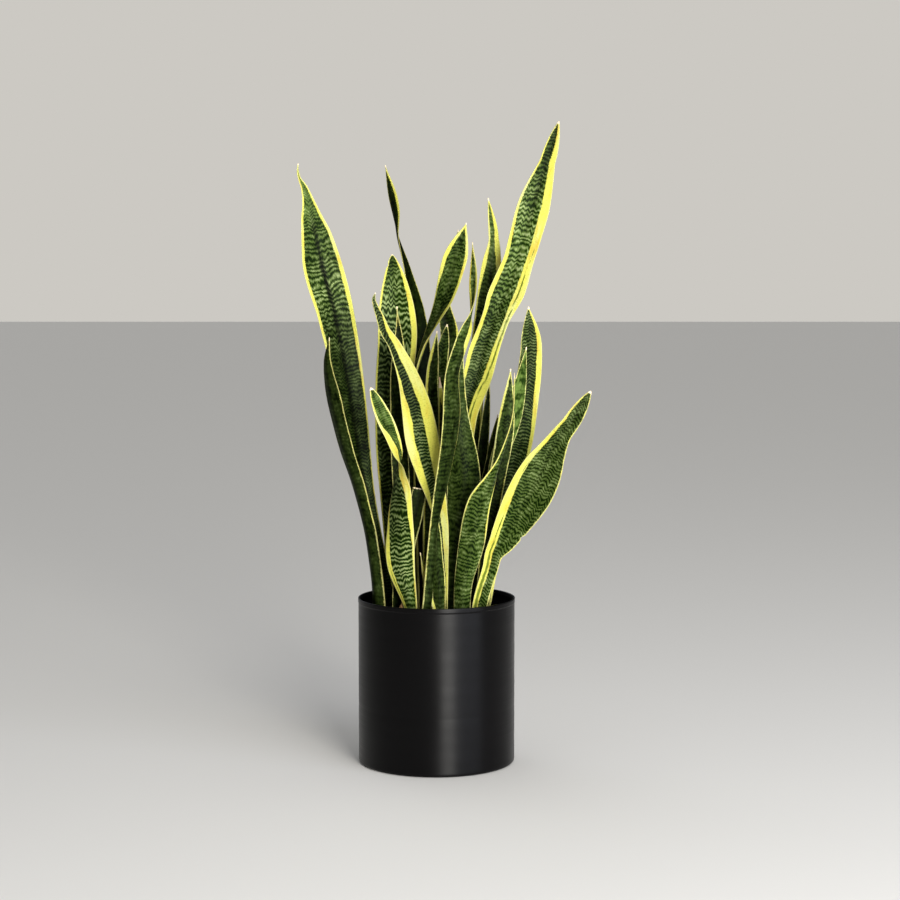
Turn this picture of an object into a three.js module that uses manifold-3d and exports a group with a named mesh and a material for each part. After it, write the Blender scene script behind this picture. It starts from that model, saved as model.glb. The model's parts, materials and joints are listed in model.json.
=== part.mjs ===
// A potted snake plant: upright sword leaves, banded and yellow-edged, in a black cylindrical planter.
// Units are millimetres. +Z is up, the origin is the centre of the planter's underside, the front faces -Y.
import * as THREE from "three";
import { mergeVertices } from "three/addons/utils/BufferGeometryUtils.js";
import Module from "manifold-3d";

// ---------------------------------------------------------------- driving dimensions
const POT_RADIUS = 125; // outside of the planter
const POT_HEIGHT = 265;
const POT_WALL = 2; // folded sheet, twice the metal's own thickness
const POT_CORNER = 5; // outside radius where the wall turns into the floor
const HEM_HEIGHT = 7; // the turned-over band under the rim
const HEM_PROUD = 0.5; // how far that band stands off the wall
const POT_SEGMENTS = 64;
const SOIL_TOP = 225; // 40 mm of free wall above the soil, for watering
const GAP = 0.4; // between pieces that touch
const ROOT_Z = 206; // the foot of every leaf, 19 mm down in the soil

// ---------------------------------------------------------------- leaf blade shape
const RINGS = 26; // cross-sections along one leaf
const ACROSS = 4; // strips across one face of a cross-section
const FOLD = [0.27, 0.17, 0.11, 0.07]; // channel depth as a share of the width, from foot to tip
const THICK = [6.4, 3.8, 2.8, 1.8]; // greatest thickness, from foot to tip
const KEEL = 0.25; // roundness of the channel's floor, as a share of the half width
const PLUMPEST = 0.45; // a blade is never thicker than this share of its width
const TAPER = null; // a row's width that is left to the tip curve
const TIP_GAP = 0.25; // how far short of the point the last cross-section stays, as a share of one ring step
const SOCKET_OVER = 3; // a leaf's socket reaches at least this far over the soil
const SLOPE_STEP = 0.5; // a leaf's direction is measured over this length to each side

// Each leaf is a list of rows from foot to tip: [x, y, z, blade width, turn in degrees].
// A turn of 0 shows the hollow inner face to the front, 180 the rounded outer face, and 90 brings an edge
// forward. Past the last row that states a width, the blade narrows to a point. "tip" says how: 1 is blunt,
// 2 is drawn out.
const LEAVES = {
  leaf_tall_left: {
    tip: 1,
    rows: [
      [-72, 16, ROOT_Z, 26, -30],
      [-88, 22, 300, 24, -30],
      [-109, 28, 400, 26, -30],
      [-127, 34, 500, 40, -28],
      [-142, 38, 600, 52, -25],
      [-164.5, 40, 720, 63, -22],
      [-183, 38, 790, 65, -18],
      [-192, 35.5, 838, 51, -16],
      [-199, 33.5, 868, 36, -15],
      [-203.5, 32, 892, 22, -14],
      [-210, 30, 916, 11.5, -12],
      [-218, 27.5, 933, 4.5, -11],
      [-222, 26, 955, TAPER, -10],
    ],
  },
  leaf_left_folded: {
    tip: 1,
    rows: [
      [-92, -14, ROOT_Z, 24, -150],
      [-98.5, -18, 300, 26, -140],
      [-114.5, -22, 400, 30, -132],
      [-144, -26, 500, 38, -128],
      [-161.5, -28, 570, 40, -128],
      [-172.5, -28, 640, TAPER, -128],
      [-168, -27, 681, TAPER, -128],
    ],
  },
  leaf_front_left_twisted: {
    tip: 0.6,
    rows: [
      [-38, -62, ROOT_Z, 20, 180],
      [-40, -65, 255, 21, 182],
      [-56, -72, 325, 44, 186],
      [-59, -79, 390, 46, 207],
      [-56.5, -84, 440, 40, 220],
      [-58.5, -86, 466, 37, 236],
      [-57, -88, 486, 34, 264],
      [-61.5, -90, 503, 32, 294],
      [-71.5, -92, 535, 29, 317],
      [-85, -95, 568, TAPER, 335],
      [-101, -98, 606, TAPER, 345],
    ],
  },
  leaf_broad_zigzag: {
    tip: 0.7,
    rows: [
      [-56, 38, ROOT_Z, 28, 8],
      [-64, 46, 300, 32, 6],
      [-69, 54, 400, 40, 5],
      [-73, 60, 500, 50, 4],
      [-69, 66, 600, 60, 2],
      [-63.3, 70, 680, 63.5, 0],
      [-67, 74, 760, TAPER, 0],
      [-72, 77, 812, TAPER, 0],
    ],
  },
  leaf_inner_left_narrow: {
    tip: 1.3,
    rows: [
      [-37, -5, ROOT_Z, 22, 0],
      [-48, -3, 330, 24, 0],
      [-58, 0, 480, 28, -4],
      [-60, 8, 600, 28, -5],
      [-60, 14, 680, TAPER, -5],
      [-63, 18, 729, TAPER, -5],
    ],
  },
  leaf_gold_edged: {
    tip: 1,
    rows: [
      [9, -36, ROOT_Z, 18, 10],
      [10, -37, 300, 19, 8],
      [11, -40, 365, 18, 5],
      [9.5, -41, 388, 20, 5],
      [5, -42.5, 410, 25.5, 4],
      [-3, -45, 445, 35.5, 0],
      [-10, -49, 470, 42, -2],
      [-22, -54, 520, 52.5, -5],
      [-32, -57, 576, 46, -6],
      [-44.5, -60, 622, 33, -8],
      [-65, -62, 670, 20, -10],
      [-79.5, -62, 692, 16.5, -10],
      [-88, -62, 715, 12.5, -10],
      [-97, -62, 739, 6, -10],
      [-99, -62, 751, TAPER, -10],
    ],
  },
  leaf_front_centre_slender: {
    tip: 1.2,
    rows: [
      [-18, -78, ROOT_Z, 18.5, 140],
      [-8, -82, 300, 19.5, 136],
      [-0.5, -86, 390, 21.5, 130],
      [17, -91, 480, 34, 130],
      [28, -95, 560, 42, 130],
      [28, -98, 625, 36, 127],
      [39.5, -100, 668, 31, 134],
      [49, -100, 696, 29, 126],
      [55, -101, 722, 25, 90],
      [58, -101, 744, 24, 70],
      [58.5, -101, 782, TAPER, 50],
      [56, -101, 829, TAPER, 40],
    ],
  },
  leaf_front_centre_short: {
    tip: 1.2,
    rows: [
      [6, -58, ROOT_Z, 16, 175],
      [4, -60, 290, 22, 175],
      [0, -65, 350, 20, 170],
      [-2, -70, 425, TAPER, 170],
    ],
  },
  leaf_centre_broad_dark: {
    tip: 1.3,
    rows: [
      [26, -26, ROOT_Z, 26, 175],
      [31, -28, 300, 34, 175],
      [41, -30, 400, 50, 178],
      [43, -32, 460, 54, 180],
      [31, -34, 560, TAPER, 180],
      [36, -36, 640, TAPER, 180],
      [43, -36, 696, TAPER, 180],
    ],
  },
  leaf_rear_left_twisted: {
    tip: 1.2,
    rows: [
      [-18, 50, ROOT_Z, 26, -20],
      [-21, 64, 350, 34, -25],
      [-26, 82, 500, 42, -30],
      [-29, 94, 620, 44, -35],
      [-35, 102, 715, 38, -45],
      [-50, 108, 787, 27, -65],
      [-64, 112, 840, 24, -90],
      [-69, 114, 888, 22, -130],
      [-84, 116, 957, TAPER, -150],
    ],
  },
  leaf_rear_centre: {
    tip: 1.1,
    rows: [
      [-28, 14, ROOT_Z, 22, 60],
      [-32, 17, 330, 26, 60],
      [-37, 22, 480, 30, 70],
      [-36, 28, 600, 34, 78],
      [-20, 36, 660, 36, 80],
      [-2, 44, 702, 38, 60],
      [14, 52, 740, 40, 38],
      [28.5, 58, 798, 40, 10],
      [48, 64, 862, TAPER, 0],
    ],
  },
  leaf_rear_centre_second: {
    tip: 1,
    rows: [
      [14, 62, ROOT_Z, 22, 0],
      [16, 80, 380, 30, 0],
      [19, 96, 560, 34, 0],
      [21, 104, 680, 30, 0],
      [12, 108, 738, 20, 10],
      [25, 112, 797, 13, 20],
      [35, 115, 852, TAPER, 20],
    ],
  },
  leaf_inner_centre_left: {
    tip: 0.9,
    rows: [
      [-9, 6, ROOT_Z, 22, 0],
      [-9, 6, 350, 26, 0],
      [-6, 8, 500, 26, 0],
      [-7, 10, 610, 20, 0],
      [1, 12, 690, TAPER, 0],
    ],
  },
  leaf_inner_centre_right: {
    tip: 0.8,
    rows: [
      [8, 25, ROOT_Z, 22, 0],
      [9, 30, 350, 24, 0],
      [8, 34, 500, 22, 20],
      [8, 37, 610, 20, 25],
      [10, 38, 655, 19, 0],
      [17, 39, 700, TAPER, 0],
    ],
  },
  leaf_inner_dry_tip: {
    tip: 0.9,
    rows: [
      [8, -10, ROOT_Z, 18, 10],
      [10, -11, 350, 22, 0],
      [14, -12, 500, 20, 0],
      [5, -13, 618, TAPER, 0],
    ],
  },
  leaf_rear_right: {
    tip: 0.9,
    rows: [
      [45, 64, ROOT_Z, 24, 0],
      [50, 78, 320, 28, 0],
      [56, 92, 450, 30, 0],
      [64, 104, 600, 30, 0],
      [85, 112, 730, 42, 0],
      [89, 116, 792, 33, -5],
      [93, 119, 837, 17, -8],
      [84, 122, 904, TAPER, -8],
    ],
  },
  leaf_rear_right_slender: {
    tip: 0.8,
    rows: [
      [52, 42, ROOT_Z, 16, 0],
      [64, 60, 350, 20, 0],
      [74, 74, 480, 18, 0],
      [86, 84, 611, TAPER, 0],
    ],
  },
  leaf_right_inner: {
    tip: 1,
    rows: [
      [68, -12, ROOT_Z, 22, -10],
      [76, -16, 300, 24, -10],
      [89, -22, 420, 26, -12],
      [106, -28, 520, 30, -15],
      [113, -31, 585, TAPER, -15],
      [117, -33, 632, TAPER, -15],
    ],
  },
  leaf_front_right_twisted: {
    tip: 1,
    rows: [
      [41, -64, ROOT_Z, 26, 180],
      [42, -67, 290, 28, 180],
      [56, -72, 360, 41, 176],
      [68, -77, 420, 40, 160],
      [88, -80, 462, 36, 125],
      [103, -82, 500, 32, 98],
      [119.5, -82, 560, TAPER, 90],
      [121.5, -80, 628, TAPER, 88],
    ],
  },
  leaf_right_pale: {
    tip: 1,
    rows: [
      [73, 12, ROOT_Z, 18, -25],
      [79, 12, 300, 22, -25],
      [88, 10, 400, 28, -25],
      [96, 8, 480, 30, -25],
      [118, 6, 545, 32, -25],
      [133, 4, 610, TAPER, -25],
      [143, 2, 665, TAPER, -25],
    ],
  },
  leaf_right_inner_pale: {
    tip: 1.1,
    rows: [
      [44, 4, ROOT_Z, 22, 0],
      [56, 12, 300, 26, 0],
      [77, 20, 420, 26, -5],
      [92, 24, 490, 24, -8],
      [98, 25, 556, TAPER, -8],
    ],
  },
  leaf_rear_far_right: {
    tip: 1,
    rows: [
      [68, 34, ROOT_Z, 22, -15],
      [84, 42, 300, 26, -15],
      [104, 50, 400, 34, -15],
      [131.5, 56, 500, 42, -15],
      [146.3, 60, 600, 41.5, -12],
      [152.3, 63, 660, 35.5, -10],
      [148, 65, 728, TAPER, -10],
    ],
  },
  leaf_right_leaning: {
    tip: 0.7,
    rows: [
      [61, -38, ROOT_Z, 24, 5],
      [71.5, -42, 270, 24, 5],
      [85.5, -45.5, 317, 25, 8],
      [91.5, -47, 341, 29, 9],
      [105.8, -50, 364, 43, 10],
      [133, -55, 412, 64.5, 10],
      [147, -57, 436, 70, 10],
      [158.6, -59, 459, 69, 10],
      [169.7, -61, 482, 61, 9],
      [180.5, -62.5, 503, 46.5, 8],
      [195, -64, 529, 32, 6],
      [211.5, -66, 551, 27, 5],
      [241, -68, 599, TAPER, 0],
    ],
  },
  leaf_tallest_right: {
    tip: 0.75,
    rows: [
      [37, 27, ROOT_Z, 26, 0],
      [36, 34, 300, 34, 0],
      [34, 42, 420, 38, 0],
      [43, 50, 550, 44, 0],
      [66.5, 56, 617, 47.5, 3],
      [75.5, 58, 652, 48.5, 5],
      [89, 61, 690, 45, 7],
      [98, 63, 714, 46.5, 8],
      [108, 65, 738, 55, 8],
      [117.3, 66.5, 758, 56.5, 8],
      [132, 70, 800, 49.5, 7],
      [142.3, 72, 836, 51.5, 5],
      [158, 76, 894, 51.5, 0],
      [179, 80, 961, 25.5, 0],
      [197, 83, 1025, TAPER, 0],
    ],
  },
  leaf_cut_short: {
    cut: true,
    rows: [
      [-58, -26, ROOT_Z, 22, 0],
      [-56, -28, 290, 26, 0],
      [-46, -31, 355, 26, -5],
      [-33.5, -33, 402, 24, -5],
      [-25.5, -34, 443, 23, -5],
    ],
  },
  leaf_inner_left_short: {
    tip: 1.1,
    rows: [
      [5, -69, ROOT_Z, 8, 130],
      [-2.5, -67.5, 256, 7, 130],
      [-17, -65.5, 300, 6.5, 130],
      [-25, -64, 345, TAPER, 130],
    ],
  },
  basal_sheath: {
    tip: 0.9,
    rows: [
      [-55, -50, ROOT_Z, 20, 180],
      [-55, -52, 235, 17, 180],
      [-54, -55, 265, TAPER, 180],
    ],
  },
};

// ---------------------------------------------------------------- curves through the rows
// A cubic Hermite curve through values at knots, with each inner slope taken from the two neighbours.
function through(knots, values, s) {
  const last = knots.length - 1;
  let k = 0;
  while (k < last - 1 && s > knots[k + 1]) k++;
  const slope = (i) => {
    const a = Math.max(i - 1, 0);
    const b = Math.min(i + 1, last);
    return (values[b] - values[a]) / (knots[b] - knots[a]);
  };
  const span = knots[k + 1] - knots[k];
  const t = (s - knots[k]) / span;
  const h00 = (1 + 2 * t) * (1 - t) ** 2;
  const h10 = t * (1 - t) ** 2;
  const h01 = t * t * (3 - 2 * t);
  const h11 = t * t * (t - 1);
  return h00 * values[k] + h10 * span * slope(k) + h01 * values[k + 1] + h11 * span * slope(k + 1);
}

// The value of an evenly spaced list at a share s of its length, joined by straight lines.
function along(list, s) {
  const place = Math.min(Math.max(s, 0), 1) * (list.length - 1);
  const k = Math.min(Math.floor(place), list.length - 2);
  return list[k] + (list[k + 1] - list[k]) * (place - k);
}

// Everything that a cross-section needs at a share s of the leaf's length.
function sectionAt(leaf, s) {
  const rows = leaf.rows;
  const knots = [0];
  for (let i = 1; i < rows.length; i++) {
    const [a, b] = [rows[i - 1], rows[i]];
    knots.push(knots[i - 1] + Math.hypot(b[0] - a[0], b[1] - a[1], b[2] - a[2]));
  }
  const length = knots[knots.length - 1];
  const place = s * length;
  const channel = (c) => rows.map((row) => row[c]);
  const point = (at) => new THREE.Vector3(...[0, 1, 2].map((c) => through(knots, channel(c), at)));

  const stated = rows.filter((row) => row[3] !== TAPER).length;
  const shoulder = knots[stated - 1];
  const widths = channel(3).slice(0, stated);
  let width = through(knots.slice(0, stated), widths, Math.min(place, shoulder));
  if (place > shoulder) {
    const f = (place - shoulder) / (length - shoulder);
    width = widths[stated - 1] * Math.cos((Math.PI / 2) * f) ** leaf.tip;
  }

  const tangent = point(place + SLOPE_STEP).sub(point(place - SLOPE_STEP)).normalize();
  const sideways = new THREE.Vector3(1, 0, 0);
  sideways.addScaledVector(tangent, -sideways.dot(tangent)).normalize();
  const forward = new THREE.Vector3().crossVectors(sideways, tangent);
  const turn = THREE.MathUtils.degToRad(through(knots, channel(4), place));
  const [cos, sin] = [Math.cos(turn), Math.sin(turn)];
  const side = sideways.clone().multiplyScalar(cos).addScaledVector(forward, sin);
  const inward = forward.clone().multiplyScalar(cos).addScaledVector(sideways, -sin);
  const thickness = Math.min(along(THICK, s), PLUMPEST * width);
  const depth = along(FOLD, s) * width;
  return { centre: point(place), tangent, side, inward, width, thickness, depth };
}

// The closed ring of points round one cross-section, over the inner face and back under the outer one.
// grow makes it a little larger all round.
function ringAt(leaf, s, grow = 0) {
  const c = sectionAt(leaf, s);
  const stretch = 1 + grow / (c.width / 2);
  const channelRise = (v) => (Math.hypot(v, KEEL) - KEEL) / (Math.hypot(1, KEEL) - KEEL);
  const pointAt = (v, face) => {
    const half = (c.thickness / 2 + grow) * Math.sqrt(1 - v * v);
    return c.centre
      .clone()
      .addScaledVector(c.side, v * stretch * (c.width / 2))
      .addScaledVector(c.inward, channelRise(v) * stretch * c.depth + face * half);
  };
  const ring = [];
  for (let i = 0; i <= ACROSS; i++) ring.push(pointAt((2 * i) / ACROSS - 1, 1));
  for (let i = ACROSS - 1; i > 0; i--) ring.push(pointAt((2 * i) / ACROSS - 1, -1));
  return ring;
}

// ---------------------------------------------------------------- solids
// A closed skin over rings of equal length. Its first end is a flat cap, and so is the last one unless an apex
// is given.
function skin(rings, apex) {
  const count = rings[0].length;
  const positions = rings.flat().flatMap((p) => p.toArray());
  const faces = [];
  for (let r = 0; r < rings.length - 1; r++) {
    for (let i = 0; i < count; i++) {
      const j = (i + 1) % count;
      const [a, b] = [r * count + i, r * count + j];
      const [c, d] = [a + count, b + count];
      // The diagonals of the inner and the outer face run the same way, so the two stay apart in a twist.
      if (i < ACROSS) faces.push(a, b, d, a, d, c);
      else faces.push(a, b, c, b, d, c);
    }
  }
  const cap = (base, flip) => {
    const over = (i) => base + i;
    const under = (i) => base + ((count - i) % count);
    for (let i = 0; i < ACROSS; i++) {
      const quad = [over(i), over(i + 1), under(i + 1), under(i)];
      const triangles = [
        [quad[0], quad[1], quad[2]],
        [quad[0], quad[2], quad[3]],
      ].filter((t) => new Set(t).size === 3);
      for (const t of triangles) faces.push(...(flip ? t.reverse() : t));
    }
  };
  cap(0, true);
  const top = (rings.length - 1) * count;
  if (apex) {
    positions.push(...apex.toArray());
    for (let i = 0; i < count; i++) faces.push(top + i, top + ((i + 1) % count), rings.length * count);
  } else {
    cap(top, false);
  }
  const geometry = new THREE.BufferGeometry();
  geometry.setAttribute("position", new THREE.Float32BufferAttribute(positions, 3));
  geometry.setIndex(faces);
  geometry.computeVertexNormals();
  return geometry;
}

const stepsOf = (leaf) => (leaf.rows.length < 5 ? Math.ceil(RINGS / 2) : RINGS);

// One leaf from its foot to its point, or to its cut end.
function leafGeometry(leaf) {
  const steps = stepsOf(leaf);
  const rings = [];
  for (let i = 0; i < steps; i++) rings.push(ringAt(leaf, i / steps));
  if (leaf.cut) return skin([...rings, ringAt(leaf, 1)]);
  rings.push(ringAt(leaf, 1 - TIP_GAP / steps));
  return skin(rings, sectionAt(leaf, 1).centre);
}

// The hole that a leaf's foot takes up in the soil, a little larger all round than the foot itself.
function socketGeometry(leaf) {
  const steps = stepsOf(leaf);
  const rings = [];
  while (sectionAt(leaf, Math.max(rings.length - 1, 0) / steps).centre.z < SOIL_TOP + SOCKET_OVER) {
    rings.push(ringAt(leaf, rings.length / steps, GAP));
  }
  const down = sectionAt(leaf, 0).tangent.multiplyScalar(-GAP);
  rings[0].forEach((p) => p.add(down));
  return skin(rings);
}

const wasm = await Module();
wasm.setup();

function toSolid(geometry) {
  const bare = new THREE.BufferGeometry();
  bare.setAttribute("position", geometry.getAttribute("position"));
  bare.setIndex(geometry.index);
  const merged = mergeVertices(bare, 1e-4);
  const vertProperties = merged.getAttribute("position").array;
  const triVerts = new Uint32Array(merged.index.array);
  return new wasm.Manifold(new wasm.Mesh({ numProp: 3, vertProperties, triVerts }));
}

function toGeometry(solid) {
  const mesh = solid.getMesh();
  const geometry = new THREE.BufferGeometry();
  geometry.setAttribute("position", new THREE.BufferAttribute(mesh.vertProperties, mesh.numProp));
  geometry.setIndex(new THREE.BufferAttribute(mesh.triVerts, 1));
  geometry.computeVertexNormals();
  return geometry;
}

// A profile of [radius, height] points, turned about Z. LatheGeometry turns about Y, so it is stood up after.
function turned(profile) {
  const points = profile.map(([r, z]) => new THREE.Vector2(r, z));
  return new THREE.LatheGeometry(points, POT_SEGMENTS).rotateX(Math.PI / 2);
}

// Profile points on an arc round [r, z], from one angle to another in degrees.
function arc(r, z, radius, from, to, steps = 4) {
  return Array.from({ length: steps + 1 }, (_, i) => {
    const angle = THREE.MathUtils.degToRad(from + ((to - from) * i) / steps);
    return [r + radius * Math.cos(angle), z + radius * Math.sin(angle)];
  });
}

const inside = POT_RADIUS - POT_WALL;

function planterGeometry() {
  const corner = POT_RADIUS - POT_CORNER;
  const bore = inside - HEM_PROUD;
  return turned([
    [0, 0],
    ...arc(corner, POT_CORNER, POT_CORNER, -90, 0),
    [POT_RADIUS, POT_HEIGHT - HEM_HEIGHT],
    [POT_RADIUS + HEM_PROUD, POT_HEIGHT - HEM_HEIGHT + HEM_PROUD],
    [POT_RADIUS + HEM_PROUD, POT_HEIGHT - HEM_PROUD],
    [POT_RADIUS, POT_HEIGHT],
    [bore + HEM_PROUD, POT_HEIGHT],
    [bore, POT_HEIGHT - HEM_PROUD],
    [bore, POT_HEIGHT - HEM_HEIGHT + HEM_PROUD],
    [inside, POT_HEIGHT - HEM_HEIGHT],
    ...arc(corner, POT_CORNER, POT_CORNER - POT_WALL, 0, -90),
    [0, POT_WALL],
  ]);
}

function soilGeometry() {
  const radius = inside - GAP;
  const floor = POT_WALL + GAP;
  const disc = toSolid(
    turned([
      [0, floor],
      [radius - POT_CORNER, floor],
      [radius, floor + POT_CORNER],
      [radius, SOIL_TOP],
      [0, SOIL_TOP],
    ]),
  );
  const sockets = Object.values(LEAVES).map((leaf) => toSolid(socketGeometry(leaf)));
  return toGeometry(sockets.reduce((soil, socket) => soil.subtract(socket), disc));
}

// ---------------------------------------------------------------- the plant
const paint = (color, roughness, metalness = 0) =>
  new THREE.MeshStandardMaterial({ color, roughness, metalness, side: THREE.DoubleSide });

const materials = {
  planter: paint("#17171a", 0.45, 0.3),
  soil: paint("#2b2019", 0.95),
  leaf: paint("#2f5a2a", 0.4),
  sheath: paint("#b08a5c", 0.7),
};

const plant = new THREE.Group();

function add(name, geometry, material) {
  const mesh = new THREE.Mesh(geometry, material);
  mesh.name = name;
  plant.add(mesh);
}

add("planter", planterGeometry(), materials.planter);
add("potting_soil", soilGeometry(), materials.soil);
for (const [name, leaf] of Object.entries(LEAVES)) {
  add(name, leafGeometry(leaf), name === "basal_sheath" ? materials.sheath : materials.leaf);
}

export default plant;
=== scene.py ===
# %% [markdown]
# # A snake plant in a black planter
# The plant is a clump of stiff, flat, sword-shaped leaves that rise straight out of the soil. Each leaf
# is dark green with pale zigzag bands across it and a yellow edge along it. The pot is a plain cylinder
# of spun sheet steel under satin black enamel, with its rim folded over.
#
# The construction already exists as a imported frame. It says where each piece stands and how big it is.
# This lesson makes the looks: a fine surface for every leaf, the pot's folded rim, the crumbs of the
# soil, and the finishes. Lengths are in millimetres wherever a shape is worked out, and become metres
# when they go into a mesh.

# %% The frame
import json

import bpy
import numpy as np
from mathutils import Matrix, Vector

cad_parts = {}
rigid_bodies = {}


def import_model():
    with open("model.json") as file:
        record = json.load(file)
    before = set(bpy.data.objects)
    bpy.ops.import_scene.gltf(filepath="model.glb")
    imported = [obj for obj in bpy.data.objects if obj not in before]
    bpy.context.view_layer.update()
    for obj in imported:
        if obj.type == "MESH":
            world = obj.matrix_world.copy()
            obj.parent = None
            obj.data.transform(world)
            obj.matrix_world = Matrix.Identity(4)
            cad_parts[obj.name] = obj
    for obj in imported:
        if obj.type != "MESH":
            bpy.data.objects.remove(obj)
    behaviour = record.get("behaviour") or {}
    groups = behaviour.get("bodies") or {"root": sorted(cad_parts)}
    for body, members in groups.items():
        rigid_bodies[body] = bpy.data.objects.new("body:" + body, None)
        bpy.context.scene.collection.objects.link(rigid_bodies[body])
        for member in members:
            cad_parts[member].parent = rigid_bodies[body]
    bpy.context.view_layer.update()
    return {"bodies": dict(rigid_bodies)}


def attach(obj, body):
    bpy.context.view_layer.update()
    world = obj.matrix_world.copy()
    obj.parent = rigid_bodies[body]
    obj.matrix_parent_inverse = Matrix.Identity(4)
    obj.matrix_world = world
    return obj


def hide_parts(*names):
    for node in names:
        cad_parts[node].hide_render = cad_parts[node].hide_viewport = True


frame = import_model()
MM = 0.001

# %% [markdown]
# ## A few helpers
# Colours are easiest to choose as sRGB hex values, but shaders work in linear light, so one function
# converts them. Shader trees are built from many nodes, so one function adds a node, sets its options,
# fills its inputs with values or links, and gives back one of its outputs, which is what the next node
# wants. The part of it that fills inputs is a function of its own, because the shader at the end of each
# tree, which Blender has already made, gets its inputs in the same way.
#
# A list fills the inputs in the node's own order. For Mix that is the share and the two things that are
# mixed. For MapRange it is the value, the two ends of the range it comes from and the two ends of the
# range it goes to, which are 0 and 1 where nothing else is said.


# %% Colours, nodes and objects
def linear(hex_colour):
    """sRGB hex to linear RGBA: a channel c becomes ((c + 0.055) / 1.055) ** 2.4, or c / 12.92 when dark."""
    channels = np.array([int(hex_colour[i : i + 2], 16) for i in (1, 3, 5)]) / 255
    light = np.where(channels > 0.04045, ((channels + 0.055) / 1.055) ** 2.4, channels / 12.92)
    return (*light.tolist(), 1.0)


def fill(tree, node, inputs):
    """Gives a node's inputs a value, a hex colour or another node's output each.

    inputs is a list in the node's own order, or a dict by name. Only the inputs that the node's settings
    leave active are counted."""
    active = [socket for socket in node.inputs if socket.enabled]
    if isinstance(inputs, dict):
        active = [next(socket for socket in active if socket.name == name) for name in inputs]
        inputs = inputs.values()
    for socket, value in zip(active, inputs):
        if isinstance(value, bpy.types.NodeSocket):
            tree.links.new(value, socket)
        else:
            socket.default_value = linear(value) if isinstance(value, str) else value


def add(tree, kind, inputs=(), output=0, **settings):
    """Adds a node with its settings and inputs, and returns its active output of that name or place."""
    node = tree.nodes.new("ShaderNode" + kind)
    for option, value in settings.items():
        setattr(node, option, value)
    fill(tree, node, inputs)
    active = [socket for socket in node.outputs if socket.enabled]
    return active[output] if isinstance(output, int) else next(s for s in active if s.name == output)


def new_finish(name):
    """A new material with its node tree and its Principled shader."""
    material = bpy.data.materials.new(name)
    material.use_nodes = True
    return material, material.node_tree, material.node_tree.nodes["Principled BSDF"]


def put(name, data):
    """A new object in the scene that shows the data: a mesh, a lamp or a camera."""
    item = bpy.data.objects.new(name, data)
    bpy.context.scene.collection.objects.link(item)
    return item


# %% [markdown]
# ## The camera
# A plant about a metre tall is best seen from a few metres off through a longer lens, so that the pot
# doesn't look swollen. The camera stands at the height of the upper leaves and looks down by a few
# degrees: that opens the rim into the thin ellipse that shows the dark inside of the pot.

# %% Camera
CAMERA_PLACE = (21.6, -3371, 784)
CAMERA_DOWN = 4.8  # degrees below the horizon
LENS, SENSOR = 85, 36  # millimetres
camera = put("camera", bpy.data.cameras.new("camera"))
camera.data.lens = LENS
camera.data.sensor_width = SENSOR
camera.location = Vector(CAMERA_PLACE) * MM
camera.rotation_euler = (np.radians(90 - CAMERA_DOWN), 0, 0)
bpy.context.scene.camera = camera
print("camera", [round(v, 3) for v in camera.location])

# %% [markdown]
# ## Floor and light
# A plain pale floor runs to the horizon, and the background has the same paleness, so nothing competes
# with the plant. Most of the light comes from a bright upright panel in front, a little to the right. On
# an upright cylinder it shows as one soft vertical streak right of the middle. A wider, dimmer and cooler
# panel stands further round to the right and gives that streak its long tail. The two soft suns, one in
# front and one overhead, are kept low, and so is the sky, so the gaps between the leaves stay deep and
# dark. A faint light from behind keeps the back of the plant readable.

# %% Floor and light
FLOOR_REACH = 30  # metres from the plant to each side of the floor
FLOOR_LEVEL = -0.4 * MM  # a hair below the pot, so that the two faces are not in one plane
floor_mesh = bpy.data.meshes.new("floor")
signs = ((-1, -1), (1, -1), (1, 1), (-1, 1))
floor_corners = [(FLOOR_REACH * x, FLOOR_REACH * y, FLOOR_LEVEL) for x, y in signs]
floor_mesh.from_pydata(floor_corners, [], [(0, 1, 2, 3)])
floor = put("floor", floor_mesh)
floor_finish, floor_tree, floor_shader = new_finish("pale_matt_floor")
fill(floor_tree, floor_shader, {"Base Color": "#E4E2DE", "Roughness": 0.85, "Specular IOR Level": 0.2})
floor_mesh.materials.append(floor_finish)


def add_lamp(name, kind, towards, strength, colour, **shape):
    """A lamp that shines on the plant from the direction towards, with the settings of its kind."""
    lamp = put(name, bpy.data.lights.new(name, kind))
    lamp.data.energy = strength
    lamp.data.color = linear(colour)[:3]
    for setting, value in shape.items():
        setattr(lamp.data, setting, value)
    lamp.rotation_euler = Vector(towards).to_track_quat("Z", "Y").to_euler()
    return lamp


SUNS = [
    # name, direction, strength, spread in degrees, colour
    ("key", (0.5, -0.87, 0.85), 0.45, 26, "#FFFBF2"),
    ("top", (0, 0, 1), 0.95, 60, "#FFFFFF"),
    ("back", (-0.5, 0.9, 0.7), 0.3, 50, "#F4F8FF"),
]
PANELS = [
    # name, place, width and height in metres, power in watts, colour
    ("strip", (1.2, -4.0, 0.75), 1.2, 1.6, 240, "#FFFDF8"),
    ("side", (2.8, -2.8, 1.0), 3.2, 2.2, 125, "#EDF2FF"),
]
for name, towards, strength, spread, colour in SUNS:
    add_lamp(name, "SUN", towards, strength, colour, angle=np.radians(spread))
for name, place, wide, high, watts, colour in PANELS:
    upright = (place[0], place[1], 0)
    panel = add_lamp(name, "AREA", upright, watts, colour, shape="RECTANGLE", size=wide, size_y=high)
    panel.location = place

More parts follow.
